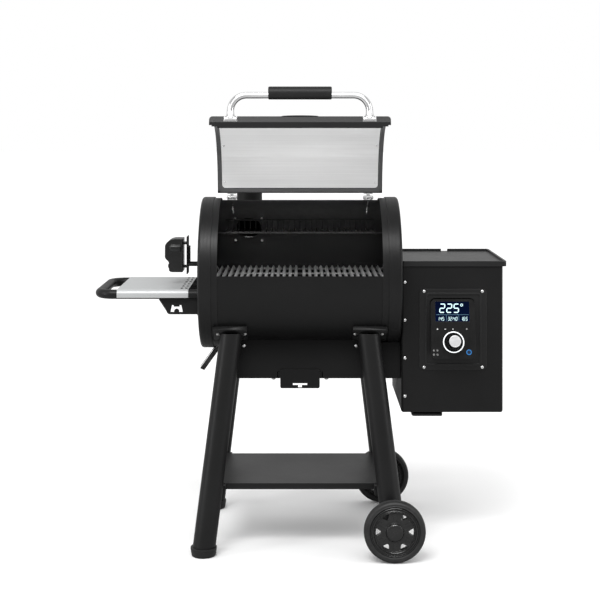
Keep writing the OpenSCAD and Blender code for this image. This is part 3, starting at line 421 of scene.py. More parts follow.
def glass_display():
    m, t, put = material("display")
    co = t.co()
    z = t.xyz(co, 2)
    cell = t.n("TexVoronoi", {"Vector": co, "Scale": 2600.0}, out="Distance")
    fade = t.remap(z, 0.700, 0.785, 0.0, 1.0, True)
    col = t.mix(fade, rgb(0.0006, 0.0045, 0.028), rgb(0.0004, 0.0025, 0.016))
    put(base=rgb(0.0006, 0.0012, 0.004), rough=0.30, spec=0.02, emit=col,
        emit_s=t.remap(cell, 0.0, 0.7, 0.85, 1.1), coat=0.02, coat_rough=0.08)
    return m


def circuit():
    m, t, put = material("board")
    co = t.co((420.0, 420.0, 420.0))
    b = t.n("TexBrick", {"Vector": co, "Scale": 1.0, "Mortar Size": 0.12,
                         "Color1": rgb(0.008, 0.07, 0.03), "Color2": rgb(0.01, 0.09, 0.04),
                         "Mortar": rgb(0.05, 0.16, 0.07)})
    put(base=b, rough=0.32, spec=0.5)
    return m


M["display"] = glass_display()
M["board"] = circuit()

LOOKS = {
    "barrel_shell": "shell", "left_end_cap": "cap", "right_end_cap": "cap", "firebox": "firebox",
    "burn_pot": "fire", "igniter_rod": "zinc", "heat_baffle": "fire", "grease_tray": "tray",
    "grease_spout": "guard", "left_grate": "grate", "right_grate": "grate",
    "warming_rack": "rack", "auger_tube": "zinc", "auger_motor": "motor",
    "fan_housing": "plastic", "hopper_shell": "hopper", "hopper_bin": "bin",
    "hopper_guard": "guard", "dump_chute": "bracket", "control_bezel": "bezel",
    "control_panel": "panel", "display_window": "display", "circuit_board": "board",
    "probe_jacks": "zinc", "power_inlet": "plastic", "body_hinge_leaves": "bolt",
    "hinge_pins": "bolt", "chimney_pipe": "flue", "shelf_top": "shelf", "shelf_frame": "leg",
    "shelf_bracket": "bracket", "rotisserie_motor": "plastic", "rotisserie_bracket": "bracket",
    "front_left_leg": "leg", "rear_left_leg": "leg", "front_right_leg": "leg",
    "rear_right_leg": "leg", "leg_saddles": "bracket", "leveling_feet": "plastic",
    "bottom_shelf": "shelf2", "wheel_axles": "zinc", "body_screws": "bolt",
    "lid_shell": "lid", "lid_liner": "liner", "lid_lip": "lip", "lid_handle": "chrome",
    "lid_grip": "grip", "lid_hinge_leaves": "bolt", "lid_rivets": "bolt",
    "hopper_lid": "hopper_lid", "front_wheel": "rim", "rear_wheel": "rim",
    "control_knob": "gloss", "power_button": "gloss", "ash_pan": "firebox",
    "dump_slide": "bracket", "auger_screw": "zinc", "fan_impeller": "zinc",
    "rotisserie_socket": "zinc", "chimney_cap": "flue",
}


# ------------------------------------------------------------------ mesh tools
def add_obj(name, bm, mat, smooth=40.0, recalc=True):
    if recalc:
        bmesh.ops.recalc_face_normals(bm, faces=bm.faces)
    lim = math.radians(smooth)
    for f in bm.faces:
        f.smooth = True
    for e in bm.edges:
        if len(e.link_faces) == 2:
            e.smooth = e.calc_face_angle(0.0) < lim
        else:
            e.smooth = False
    me = bpy.data.meshes.new(name)
    bm.to_mesh(me)
    bm.free()
    ob = bpy.data.objects.new(name, me)
    bpy.context.scene.collection.objects.link(ob)
    me.materials.append(mat)
    return ob


def finish_piece(ob, body, *replaced, slot=None):
    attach(ob, body)
    if replaced:
        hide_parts(*replaced)
    return ob


def frame_at(origin, z, x=None):
    """4x4 with the given local Z and, when given, a preferred X; origin in mm."""
    z = Vector(z).normalized()
    x = Vector(x) if x is not None else Vector((1, 0, 0))
    if abs(x.normalized().dot(z)) > 0.95:
        x = Vector((0, 1, 0))
    y = z.cross(x).normalized()
    x = y.cross(z).normalized()
    m = Matrix((x, y, z)).transposed().to_4x4()
    m.translation = Vector(origin) * MM
    return m


def revolve(bm, profile, mtx, segs=64):
    """profile: (r, z) in mm from one end to the other, turned about the local Z."""
    rings = []
    for r, z in profile:
        if r < 1e-6:
            rings.append([bm.verts.new(mtx @ Vector((0, 0, z * MM)))])
        else:
            rings.append([bm.verts.new(mtx @ Vector((r * MM * math.cos(2 * math.pi * i / segs),
                                                     r * MM * math.sin(2 * math.pi * i / segs),
                                                     z * MM))) for i in range(segs)])
    for a, b in zip(rings, rings[1:]):
        for i in range(segs):
            j = (i + 1) % segs
            if len(a) == 1 and len(b) == 1:
                continue
            if len(a) == 1:
                bm.faces.new((a[0], b[i], b[j]))
            elif len(b) == 1:
                bm.faces.new((a[i], b[0], a[j]))
            else:
                bm.faces.new((a[i], b[i], b[j], a[j]))
    for end in (rings[0], rings[-1]):
        if len(end) > 1:
            bm.faces.new(end)


def revolve_closed(bm, profile, mtx, segs=96):
    """A closed (r, z) loop turned about the local Z: a ring."""
    rings = [[bm.verts.new(mtx @ Vector((r * MM * math.cos(2 * math.pi * i / segs),
                                         r * MM * math.sin(2 * math.pi * i / segs), z * MM)))
              for i in range(segs)] for r, z in profile]
    for k in range(len(rings)):
        a, b = rings[k], rings[(k + 1) % len(rings)]
        for i in range(segs):
            j = (i + 1) % segs
            bm.faces.new((a[i], b[i], b[j], a[j]))


def sweep(bm, pts, radii, segs=32, cap=True):
    """A round tube along points in mm, with its own radius at each point."""
    pts = [Vector(p) * MM for p in pts]
    tan = []
    for i in range(len(pts)):
        a = pts[max(i - 1, 0)]
        b = pts[min(i + 1, len(pts) - 1)]
        tan.append((b - a).normalized())
    ref = Vector((0, 1, 0)) if abs(tan[0].y) < 0.9 else Vector((1, 0, 0))
    u = tan[0].cross(ref).normalized()
    rings = []
    for i, p in enumerate(pts):
        u = (u - tan[i] * u.dot(tan[i])).normalized()
        w = tan[i].cross(u)
        rings.append([bm.verts.new(p + (u * math.cos(2 * math.pi * k / segs) +
                                        w * math.sin(2 * math.pi * k / segs)) * radii[i] * MM)
                      for k in range(segs)])
    for a, b in zip(rings, rings[1:]):
        for k in range(segs):
            j = (k + 1) % segs
            bm.faces.new((a[k], b[k], b[j], a[j]))
    if cap:
        bm.faces.new(rings[0])
        bm.faces.new(rings[-1])


def prism(bm, pts, mtx, h0, h1):
    """A polygon in the local XY plane (mm), from local Z h0 to h1. Returns its faces."""
    lo = [bm.verts.new(mtx @ Vector((x * MM, y * MM, h0 * MM))) for x, y in pts]
    hi = [bm.verts.new(mtx @ Vector((x * MM, y * MM, h1 * MM))) for x, y in pts]
    fs = [bm.faces.new(lo[::-1]), bm.faces.new(hi)]
    n = len(pts)
    for i in range(n):
        j = (i + 1) % n
        fs.append(bm.faces.new((lo[i], lo[j], hi[j], hi[i])))
    return fs


def rpoly(w, h, r, cx=0.0, cy=0.0, n=6):
    """Rounded rectangle outline, counter-clockwise."""
    out = []
    for sx, sy, a0 in ((1, 1, 0), (-1, 1, 90), (-1, -1, 180), (1, -1, 270)):
        for k in range(n + 1):
            a = math.radians(a0 + 90.0 * k / n)
            out.append((cx + sx * (w / 2 - r) + r * math.cos(a),
                        cy + sy * (h / 2 - r) + r * math.sin(a)))
    return out


def round_all(bm, r, segs=3, limit=25.0, faces=None):
    lim = math.radians(limit)
    pool = bm.edges if faces is None else {e for f in faces for e in f.edges}
    es = [e for e in pool if len(e.link_faces) == 2 and e.calc_face_angle(0.0) > lim]
    bmesh.ops.bevel(bm, geom=es, offset=r * MM, segments=segs, profile=0.5, affect="EDGES",
                    clamp_overlap=True)


def rbox(bm, lo, hi, r, segs=3):
    """Rounded box between two corners in mm."""
    c = [(a + b) / 2 for a, b in zip(lo, hi)]
    d = [abs(b - a) for a, b in zip(lo, hi)]
    tmp = bmesh.new()
    bmesh.ops.create_cube(tmp, size=1.0)
    for v in tmp.verts:
        v.co = Vector(((c[0] + v.co.x * d[0]) * MM, (c[1] + v.co.y * d[1]) * MM,
                       (c[2] + v.co.z * d[2]) * MM))
    bmesh.ops.bevel(tmp, geom=list(tmp.edges), offset=r * MM, segments=segs, profile=0.5,
                    affect="EDGES", clamp_overlap=True)
    me = bpy.data.meshes.new("tmp")
    tmp.to_mesh(me)
    tmp.free()
    bm.from_mesh(me)
    bpy.data.meshes.remove(me)


def bake(ob):
    """Applies the object's modifiers."""
    dg = bpy.context.evaluated_depsgraph_get()
    dg.update()
    me = bpy.data.meshes.new_from_object(ob.evaluated_get(dg))
    old = ob.data
    ob.modifiers.clear()
    ob.data = me
    bpy.data.meshes.remove(old)
    return ob


def cut(ob, cutter_bm):
    """Subtracts the cutter from ob."""
    me = bpy.data.meshes.new("cutter")
    bmesh.ops.recalc_face_normals(cutter_bm, faces=cutter_bm.faces)
    cutter_bm.to_mesh(me)
    cutter_bm.free()
    c = bpy.data.objects.new("cutter", me)
    bpy.context.scene.collection.objects.link(c)
    md = ob.modifiers.new("cut", "BOOLEAN")
    md.operation = "DIFFERENCE"
    md.solver = "EXACT"
    md.object = c
    bpy.context.view_layer.update()
    bake(ob)
    bpy.data.objects.remove(c)
    return ob


def reshade(ob, smooth=35.0):
    bm = bmesh.new()
    bm.from_mesh(ob.data)
    lim = math.radians(smooth)
    for f in bm.faces:
        f.smooth = True
    for e in bm.edges:
        e.smooth = len(e.link_faces) == 2 and e.calc_face_angle(0.0) < lim
    bm.to_mesh(ob.data)
    bm.free()


def arc(cx, cz, r, a0, a1, n):
    return [(cx + r * math.cos(math.radians(a0 + (a1 - a0) * k / n)),
             cz + r * math.sin(math.radians(a0 + (a1 - a0) * k / n))) for k in range(n + 1)]


# pose helpers: shut position to the lid's rest position
A = math.radians(-OPEN)
LID = (Matrix.Translation((0, HY * MM, HZ * MM)) @ Matrix.Rotation(A, 4, "X")
       @ Matrix.Translation((0, -HY * MM, -HZ * MM)))
PANEL = Matrix.Translation(Vector(PAN) * MM) @ Matrix.Rotation(math.radians(90 - TILT), 4, "X")


def drum_pt(x, r, a):
    """A point at angle a (0 at the back, 90 up, 180 front) and radius r of the drum, shut lid."""
    a = math.radians(a)
    return Vector((x * MM, r * MM * math.cos(a), (BZ + r * math.sin(a)) * MM))


# ------------------------------------------------------------------ CAD nodes
ROUND = {  # small rounded edges on folded sheet and moulded nodes: width mm
    "hopper_lid": 0.5, "firebox": 0.7, "bottom_shelf": 0.8, "ash_pan": 0.6,
    "control_bezel": 0.45, "control_panel": 0.7, "rotisserie_bracket": 0.5,
    "shelf_bracket": 0.5, "leg_saddles": 0.6, "power_inlet": 0.8, "dump_slide": 0.5,
    "power_button": 0.5, "hopper_shell": 0.35,
}
for name, ob in NODES.items():
    mat = M[LOOKS.get(name, "zinc")]
    if ob.material_slots:
        for s in ob.material_slots:
            s.material = mat
    else:
        ob.data.materials.append(mat)


def soften(ob, width):
    """Rounded sheet edges: weld, bevel by angle, keep the flats flat."""
    w = ob.modifiers.new("weld", "WELD")
    w.merge_threshold = 2e-6
    b = ob.modifiers.new("round", "BEVEL")
    b.width = width * MM
    b.segments = 2
    b.limit_method = "ANGLE"
    b.angle_limit = math.radians(38)
    b.use_clamp_overlap = True
    b.harden_normals = True


for name, width in ROUND.items():
    if name in NODES:
        soften(NODES[name], width)

# ------------------------------------------------------------------ lid handle and grip
bm = bmesh.new()
HX, HYB, HBAR = 218.0, -230.0, 1434.0
pts, rad = [], []
for k in range(9):
    z = 1358 + (1384 - 1358) * k / 8
    pts.append((-HX, HYB, z))
    rad.append(12.6 if z < 1366 else 12.6 - 1.1 * (z - 1366) / 18)
for k in range(1, 25):
    a = math.radians(180 - 90 * k / 24)
    pts.append((-HX + 50 + 50 * math.cos(a), HYB, 1384 + 50 * math.sin(a)))
    rad.append(11.5 - (11.5 - 10.25) * k / 24)
for k in range(1, 12):
    pts.append((-168 + 336 * k / 12, HYB, HBAR))
    rad.append(10.25)
half = [(p, r) for p, r in zip(pts[:33], rad[:33])]
pts += [(-p[0], p[1], p[2]) for p, r in reversed(half)]
rad += [r for p, r in reversed(half)]
sweep(bm, pts, rad, 40)
for s in (-1, 1):
    rbox(bm, (s * HX - 20.5, -243.2, 1353.3), (s * HX + 20.5, -216.2, 1364.5), 3.6, 4)
    revolve(bm, [(0, 1362), (17.6, 1362)] + [(17.6 - 2.6 + 2.6 * math.cos(math.radians(a)), 1366.4 + 2.6 * math.sin(math.radians(a))) for a in (0, 22, 45, 67, 90)] + [(14.6, 1369.4), (13.2, 1371.2), (12.7, 1374.0), (0, 1374.0)],
            frame_at((s * HX, HYB, 0), (0, 0, 1)), 48)
ob = add_obj("handle_tube", bm, M["chrome"], 42)
finish_piece(ob, "lid", "lid_handle", slot="chrome")

bm = bmesh.new()
prof = [(10.35, -98.4), (14.0, -99.4)] + arc(17.4, -96.6, 3.0, 250, 180, 4)
prof = [(10.35, -99.2), (15.2, -99.6)]
for k in range(7):
    a = math.radians(90 * k / 6)
    prof.append((16.9 + 3.5 * math.sin(a), -96.1 - 3.5 * math.cos(a)))
body = []
z = -92.0
for k in range(47):
    body.append((20.40, z))
    z += 4.0
prof += [(20.45, -93.0), (20.5, -88.0), (20.5, 88.0), (20.45, 93.0)]
prof += [(r, -zz) for r, zz in reversed(prof[:9])]
revolve_closed(bm, prof + [(10.35, 99.2)], frame_at((0, HYB, 1441), (1, 0, 0)), 96)
ob = add_obj("handle_grip", bm, M["grip"], 40)
finish_piece(ob, "lid", "lid_grip", slot="grip_plastic")

# blank badge plate on the lip's outer face
bm = bmesh.new()
arch = [(-58.0, 1367.6)] + [(58.0 * math.sin(math.radians(a)), 1368.2 + 3.0 * math.cos(math.radians(a)) ** 0.8)
                            for a in range(-84, 85, 12)] + [(58.0, 1367.6)]
prism(bm, arch, Matrix(((1, 0, 0, 0), (0, 0, 1, 0), (0, 1, 0, 0), (0, 0, 0, 1))), -232.0, -215.5)
bmesh.ops.recalc_face_normals(bm, faces=bm.faces)
round_all(bm, 0.6, 3, 60)
ob = add_obj("lip_badge_plate", bm, M["gloss"], 35)
finish_piece(ob, "lid")

# ------------------------------------------------------------------ lid liner with rounded corners
def curved_sheet(name, half, a0, a1, rc, r_face, thick, mat, nu=60, nv=44, crown=0.0):
    """A rounded-corner sheet on the inside of the shut lid at radius r_face, turned to rest."""
    L = math.radians(a1 - a0) * r_face
    bm = bmesh.new()
    outline = rpoly(2 * half, L, rc, 0, 0, 8)
    # dense grid clipped by the outline: rows along the arc
    rows = []
    for j in range(nv + 1):
        y = -L / 2 + L * j / nv
        d = L / 2 - abs(y)
        inset = rc - math.sqrt(max(rc * rc - (rc - d) ** 2, 0)) if d < rc else 0.0
        rows.append((y, half - inset))
    extra = []
    for k in range(1, 7):
        d = rc * (1 - math.cos(math.radians(90 * k / 7)))
        for s in (-1, 1):
            y = s * (L / 2 - d)
            extra.append((y, half - (rc - math.sqrt(max(rc * rc - (rc - d) ** 2, 0)))))
    rows = sorted(set(rows + extra))
    grid = []
    for y, hw in rows:
        a = a0 + (y + L / 2) / L * (a1 - a0)
        line = []
        for i in range(nu + 1):
            x = -hw + 2 * hw * i / nu
            bulge = crown * (1 - (x / half) ** 2) * (1 - (2 * y / L) ** 2)
            line.append(bm.verts.new(LID @ drum_pt(x, r_face - bulge, a)))
        grid.append(line)
    top = [bm.faces.new((p[i], p[i + 1], q[i + 1], q[i]))
           for p, q in zip(grid, grid[1:]) for i in range(nu)]
    back = {}
    cen = LID @ Vector((0, 0, BZ * MM))
    axis_dir = Vector((1, 0, 0))
    for v in list(bm.verts):
        p = v.co - cen
        radial = Vector((0, p.y, p.z)).normalized()
        back[v] = bm.verts.new(v.co + radial * thick * MM)
    for f in top:
        bm.faces.new([back[v] for v in reversed(f.verts)])
    for e in [e for e in bm.edges if len(e.link_faces) == 1 and e.verts[0] in back and e.verts[1] in back]:
        a, b = e.verts
        bm.faces.new((a, b, back[b], back[a]))
    bmesh.ops.recalc_face_normals(bm, faces=bm.faces)
    return add_obj(name, bm, mat, 30)


ob = curved_sheet("lid_liner_sheet", 261.0, 82.1, 172.6, 11.0, LID_RI - 0.75, 0.5, M["liner"])
finish_piece(ob, "lid", "lid_liner", slot="stainless")

# rolled hem that frames the liner, on the lid's inner face; its paler enamel is painted light
def lid_frame(name, x_in, x_out, a_in, a_out, rc, r0, r1, mat):
    """A picture-frame band between two rounded outlines on the shut lid's inner face."""
    rm = r0
    def loop(hx, aa, r):
        L = math.radians(aa[1] - aa[0]) * rm
        pts = []
        base = rpoly(2 * hx, L, r, 0, 0, 8)
        n = len(base)
        for i in range(n):
            p, q = Vector(base[i]), Vector(base[(i + 1) % n])
            m = max(1, int((q - p).length / 9))
            for k in range(m):
                pts.append(p.lerp(q, k / m))
        return pts, L, aa
    pin, Lin, ain = loop(x_in, a_in, rc)
    pout = []
    Lout = math.radians(a_out[1] - a_out[0]) * rm
    cmid_in = (ain[0] + ain[1]) / 2
    cmid_out = (a_out[0] + a_out[1]) / 2
    sx = x_out / x_in
    bm = bmesh.new()
    prof = [(0.0, 0.0), (0.06, 0.7), (0.16, 1.0), (0.84, 1.0), (0.94, 0.7), (1.0, 0.0)]
    rings = []
    for p in pin:
        a1 = cmid_in + math.degrees(p.y / rm)
        ox = max(-x_out, min(x_out, p.x * sx))
        oa = cmid_out + (a1 - cmid_in) * (a_out[1] - a_out[0]) / (a_in[1] - a_in[0])
        ring = []
        for f, h in prof:
            x = p.x + (ox - p.x) * f
            a = a1 + (oa - a1) * f
            ring.append(bm.verts.new(LID @ drum_pt(x, r0 + (r1 - r0) * h, a)))
        rings.append(ring)
    n = len(rings)
    for i in range(n):
        a, b = rings[i], rings[(i + 1) % n]
        for k in range(len(prof) - 1):
            bm.faces.new((a[k], a[k + 1], b[k + 1], b[k]))
        bm.faces.new((a[-1], a[0], b[0], b[-1]))
    return add_obj(name, bm, mat, 40)


ob = lid_frame("lid_hem_frame", 262.2, 274.4, (81.7, 173.0), (78.6, 175.4), 11.5, LID_RI - 0.02,
               LID_RI - 0.85, M["hem"])
finish_piece(ob, "lid")

# ------------------------------------------------------------------ cooking grates
def grate_piece(name, x0, x1, node):
    bm = bmesh.new()
    gz, pitch = 852.0, 19.8
    n = int((x1 - x0 - 8) / pitch)
    m = (x1 - x0 - n * pitch) / 2
    rng = random.Random(len(name) * 31 + 5)
    prof = [(-5.1, -14.8), (5.1, -14.8), (5.2, -9.0), (4.4, -6.4), (2.2, -1.6), (1.5, -0.5),
            (0.6, 0.0), (-0.6, 0.0), (-1.5, -0.5), (-2.2, -1.6), (-4.4, -6.4), (-5.2, -9.0)]
    ys = [-226, -224.2, -221] + [-221 + 442 * k / 22 for k in range(1, 22)] + [221, 224.2, 226]
    for i in range(n + 1):
        cx = x0 + m + i * pitch
        rings = []
        for y in ys:
            e = min(abs(y + 226), abs(226 - y))
            k = 1.0 if e > 4 else 0.80 + 0.05 * e
            w = 1.0 + rng.uniform(-0.02, 0.02)
            rings.append([bm.verts.new(Vector(((cx + px * k * w) * MM, y * MM,
                                               (gz - 7.4 + (pz + 7.4) * k) * MM)))
                          for px, pz in prof])
        for a, b in zip(rings, rings[1:]):
            for j in range(len(prof)):
                q = (j + 1) % len(prof)
                bm.faces.new((a[j], a[q], b[q], b[j]))
        bm.faces.new(rings[0])
        bm.faces.new(rings[-1])
    for y in (-226, -78, 70, 218):
        rbox(bm, (x0 + 0.2, y + 0.4, gz - 14.7), (x1 - 0.2, y + 7.6, gz - 9.6), 1.2, 2)
    ob = add_obj(name, bm, M["grate"], 50)
    return finish_piece(ob, "root", node, slot="grate_enamel")


grate_piece("grate_cast_left", -303.0, -0.6, "left_grate")
grate_piece("grate_cast_right", 0.6, 303.0, "right_grate")

# ------------------------------------------------------------------ side drive
bm = bmesh.new()
poly = [(-386, 966.5), (-414, 966.5)]
poly += [(-425.5, 963.6), (-433.0, 958.6), (-440.0, 951.5), (-443.6, 944.0), (-444.0, 906.0),
         (-441.0, 900.0), (-432.8, 892.6), (-430.2, 886.0), (-433.2, 882.6), (-433.4, 873.0),
         (-430.6, 870.0), (-430.2, 862.0), (-425.6, 858.2), (-420.0, 857.0), (-386, 857.0)]
mt = Matrix(((1, 0, 0, 0), (0, 0, -1, 0), (0, 1, 0, 0), (0, 0, 0, 1)))
prism(bm, poly, mt, -38.0, 38.0)
fr = [f for f in bm.faces]
bmesh.ops.recalc_face_normals(bm, faces=bm.faces)
es = [e for e in bm.edges if all(abs(abs(v.co.y) - 0.038) < 1e-6 for v in e.verts)
      and not all(abs(v.co.x + 0.386) < 1e-6 for v in e.verts)]
bmesh.ops.bevel(bm, geom=es, offset=0.0058, segments=5, profile=0.5, affect="EDGES",
                clamp_overlap=True)
# the rounded motor that bulges out of the front and back of the moulding
for s in (-1, 1):
    cap = []
    for k in range(9):
        a = math.radians(90 * k / 8)
        cap.append((15.0 * math.sin(a), -423 - 8.5 * math.cos(a)))
    revolve(bm, [(0, cap[0][1])] + cap[1:] + [(15.0, -396), (14.4, -392.5), (12.6, -391), (0, -391)],
            Matrix.Translation((0, s * 29.0 * MM, 936 * MM)) @ Matrix.Rotation(math.radians(90), 4, "Y"), 40)
# parting line ridge, gasket plate and feet
rbox(bm, (-388.6, -38.4, 858.2), (-385.4, 38.4, 965.4), 1.2, 2)
for z in (873, 950):
    revolve(bm, [(0, -386.5), (5.2, -386.5), (5.2, -374.0), (4.4, -373.3), (0, -373.3)],
            Matrix.Translation((0, 0, z * MM)) @ Matrix.Rotation(math.radians(90), 4, "Y"), 28)
ob = add_obj("side_drive_housing", bm, M["drive"], 38)
finish_piece(ob, "root", "rotisserie_motor", slot="black_plastic")

# ------------------------------------------------------------------ wheels
def wheel_piece(prefix, body, node, s):
    m = (Matrix.Translation(Vector((290.5, s * 320.0, 95.0)) * MM)
         @ Matrix.Rotation(math.radians(-90 if s > 0 else 90), 4, "X"))
    # tyre: flat tread with shoulder ribs and a raised bead line on the side wall
    side = [(76.5, 15.4), (78.4, 17.2), (79.6, 18.9), (80.8, 18.9), (82.0, 17.9), (84.6, 18.3),
            (87.4, 18.2), (90.0, 17.0), (92.2, 14.8), (93.6, 12.0), (94.6, 8.6)]
    tread = [(94.9, 6.4), (93.7, 5.9), (93.7, 5.1), (95.0, 4.6), (95.0, 0.6), (93.9, 0.2)]
    half = side + tread
    loop = half + [(r, -z) for r, z in reversed(half)] + [(75.5, -13.0), (75.5, 13.0)]
    bm = bmesh.new()
    revolve_closed(bm, loop, m, 144)
    ob = add_obj(prefix + "_tyre", bm, M["tyre"], 42)
    finish_piece(ob, body, node, slot="black_plastic")
    # rim: dished web with six windows, bead ring, hub dome
    front = [(75.4, 15.6), (74.2, 16.4), (72.6, 16.2), (71.6, 14.8), (70.4, 12.4), (66.2, 11.6),
             (65.0, 12.4), (64.0, 15.0), (62.6, 16.4), (61.2, 15.4), (60.4, 12.2), (59.4, 9.6),
             (50.0, 8.8), (40.0, 9.2), (31.0, 10.4), (28.6, 11.4), (27.6, 13.2), (26.6, 15.4),
             (24.6, 17.6), (21.0, 19.1), (15.8, 19.9), (9.0, 20.3), (0.0, 20.4)]
    back = [(0.0, -20.2), (11.5, -20.2), (12.4, -19.4), (12.6, -8.0), (26.0, -7.0), (58.0, -6.6),
            (61.0, -9.0), (62.0, -14.0), (64.4, -14.6), (66.0, -12.0), (73.5, -13.0), (75.4, -14.5)]
    bm = bmesh.new()
    revolve(bm, back + front[::1] if False else list(reversed(front)) + list(reversed(back)), m, 144)
    ob = add_obj(prefix + "_rim", bm, M["rim"], 35)
    cb = bmesh.new()
    for k in range(6):
        rot = m @ Matrix.Rotation(math.radians(60 * k), 4, "Z")
        pl = [(42.4, -2.2), (43.6, -3.6), (55.0, -11.5), (56.8, -11.7), (57.8, -10.4),
              (58.6, 0.0), (57.8, 10.4), (56.8, 11.7), (55.0, 11.5), (43.6, 3.6), (42.4, 2.2)]
        prism(cb, pl, rot, -30, 30)
    cut(ob, cb)
    reshade(ob, 32)
    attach(ob, body)
    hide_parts(node)
    # spokes: shallow raised ribs between the windows
    bm = bmesh.new()
    for k in range(6):
        rot = m @ Matrix.Rotation(math.radians(60 * k + 30), 4, "Z")
        prism(bm, rpoly(27, 9.0, 3.4, 44.5, 0, 5), rot, 7.6, 10.6)
    round_all(bm, 0.9, 3, 50)
    ob2 = add_obj(prefix + "_ribs", bm, M["rim"], 38)
    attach(ob2, body)
    return ob


wheel_piece("wheel_front", "front_wheel", "front_wheel", -1)
wheel_piece("wheel_rear", "rear_wheel", "rear_wheel", 1)

# ------------------------------------------------------------------ feet
bm = bmesh.new()
for s in (-1, 1):
    prof = [(0, 0.0), (34.0, 0.0), (36.0, 0.6), (37.4, 2.2), (38.2, 4.6), (40.2, 17.4), (40.3, 18.6),
            (39.5, 19.1), (39.5, 20.1), (40.9, 20.7), (41.0, 21.6), (41.0, 26.6), (40.7, 27.5),
            (39.8, 28.0), (36.8, 28.0), (0, 28.0)]
    revolve(bm, prof, frame_at((-300.0, s * 253.0, 0), (0, 0, 1)), 72)
ob = add_obj("leg_feet", bm, M["plastic"], 32)
finish_piece(ob, "root", "leveling_feet", slot="black_plastic")

# ------------------------------------------------------------------ fasteners
def pan_head(bm, mtx, r, h, hexr=None, washer=0.0):
    """Domed head with a hex socket; the head stands on local Z = 0."""
    prof = [(0, 0), (r * 0.985, 0), (r, h * 0.12), (r * 0.97, h * 0.38), (r * 0.86, h * 0.66),
            (r * 0.66, h * 0.88)]
    hexr = hexr or r * 0.42
    seg = 24
    prof += [(hexr * 1.12, h)]
    rings = []
    for rr, z in prof[1:]:
        rings.append([bm.verts.new(mtx @ Vector((rr * MM * math.cos(2 * math.pi * i / seg),
                                                 rr * MM * math.sin(2 * math.pi * i / seg), z * MM)))
                      for i in range(seg)])
    for top, depth in ((True, h), (False, h * 0.45)):
        line = []
        for i in range(seg):
            a = 2 * math.pi * i / seg
            am = (a % (math.pi / 3)) - math.pi / 6
            rr = hexr * math.cos(math.pi / 6) / math.cos(am)
            line.append(bm.verts.new(mtx @ Vector((rr * MM * math.cos(a), rr * MM * math.sin(a), depth * MM))))
        rings.append(line)
    for a, b in zip(rings, rings[1:]):
        for i in range(seg):
            j = (i + 1) % seg
            bm.faces.new((a[i], a[j], b[j], b[i]))
    bm.faces.new(rings[0])
    bm.faces.new(rings[-1])
    if washer:
        revolve(bm, [(0, -0.02), (washer, -0.02), (washer, 0.55), (washer - 0.3, 0.8), (0, 0.8)], mtx, 32)


def on_drum(x, r, a):
    a_ = math.radians(a)
    return frame_at((x, r * math.cos(a_), BZ + r * math.sin(a_)), (0, math.cos(a_), math.sin(a_)), (1, 0, 0))


bm = bmesh.new()
Y0 = -150.0
for z in (838, 717, 596, 474):
    pan_head(bm, frame_at((335, Y0 - 0.05, z), (0, -1, 0)), 5.4, 3.0)
for x in (396, 582):
    for z in (809.5, 567):
        pan_head(bm, frame_at((x, Y0 - 3.05, z), (0, -1, 0)), 5.2, 2.8)
for s in (-1, 1):
    pan_head(bm, frame_at((s * 180, -130.05, 632), (0, -1, 0)), 5.2, 2.6)
for i in (-1, 1):
    for j in (-1, 1):
        pan_head(bm, on_drum(-178 + i * 49, SHELL_R + 2.8, PORT_A + j * 9.5), 4.6, 3.0)
for s in (-1, 1):
    for t in (-1, 1):
        pan_head(bm, on_drum(s * 229 + t * 9, SHELL_R + 3.3, 66), 4.0, 2.4)
ob = add_obj("screws_bright", bm, M["bolt"], 38)
finish_piece(ob, "root", "body_screws", slot="zinc_steel")
bm = bmesh.new()
for sx in (-1, 1):
    for a in (-47.5, 227.5):
        for d in (-42.5, 42.5):
            pan_head(bm, on_drum(sx * 218 + d, SHELL_R + 3.3, a), 5.6, 3.4, washer=6.6)
for s in (-1, 1):
    m = frame_at((s * 85, -122, 526.9), (0, 0, -1))
    pan_head(bm, m, 7.0, 5.0, washer=8.0)
ob = add_obj("screws_dark", bm, M["zinc"], 38)
finish_piece(ob, "root", "body_screws", slot="zinc_steel")
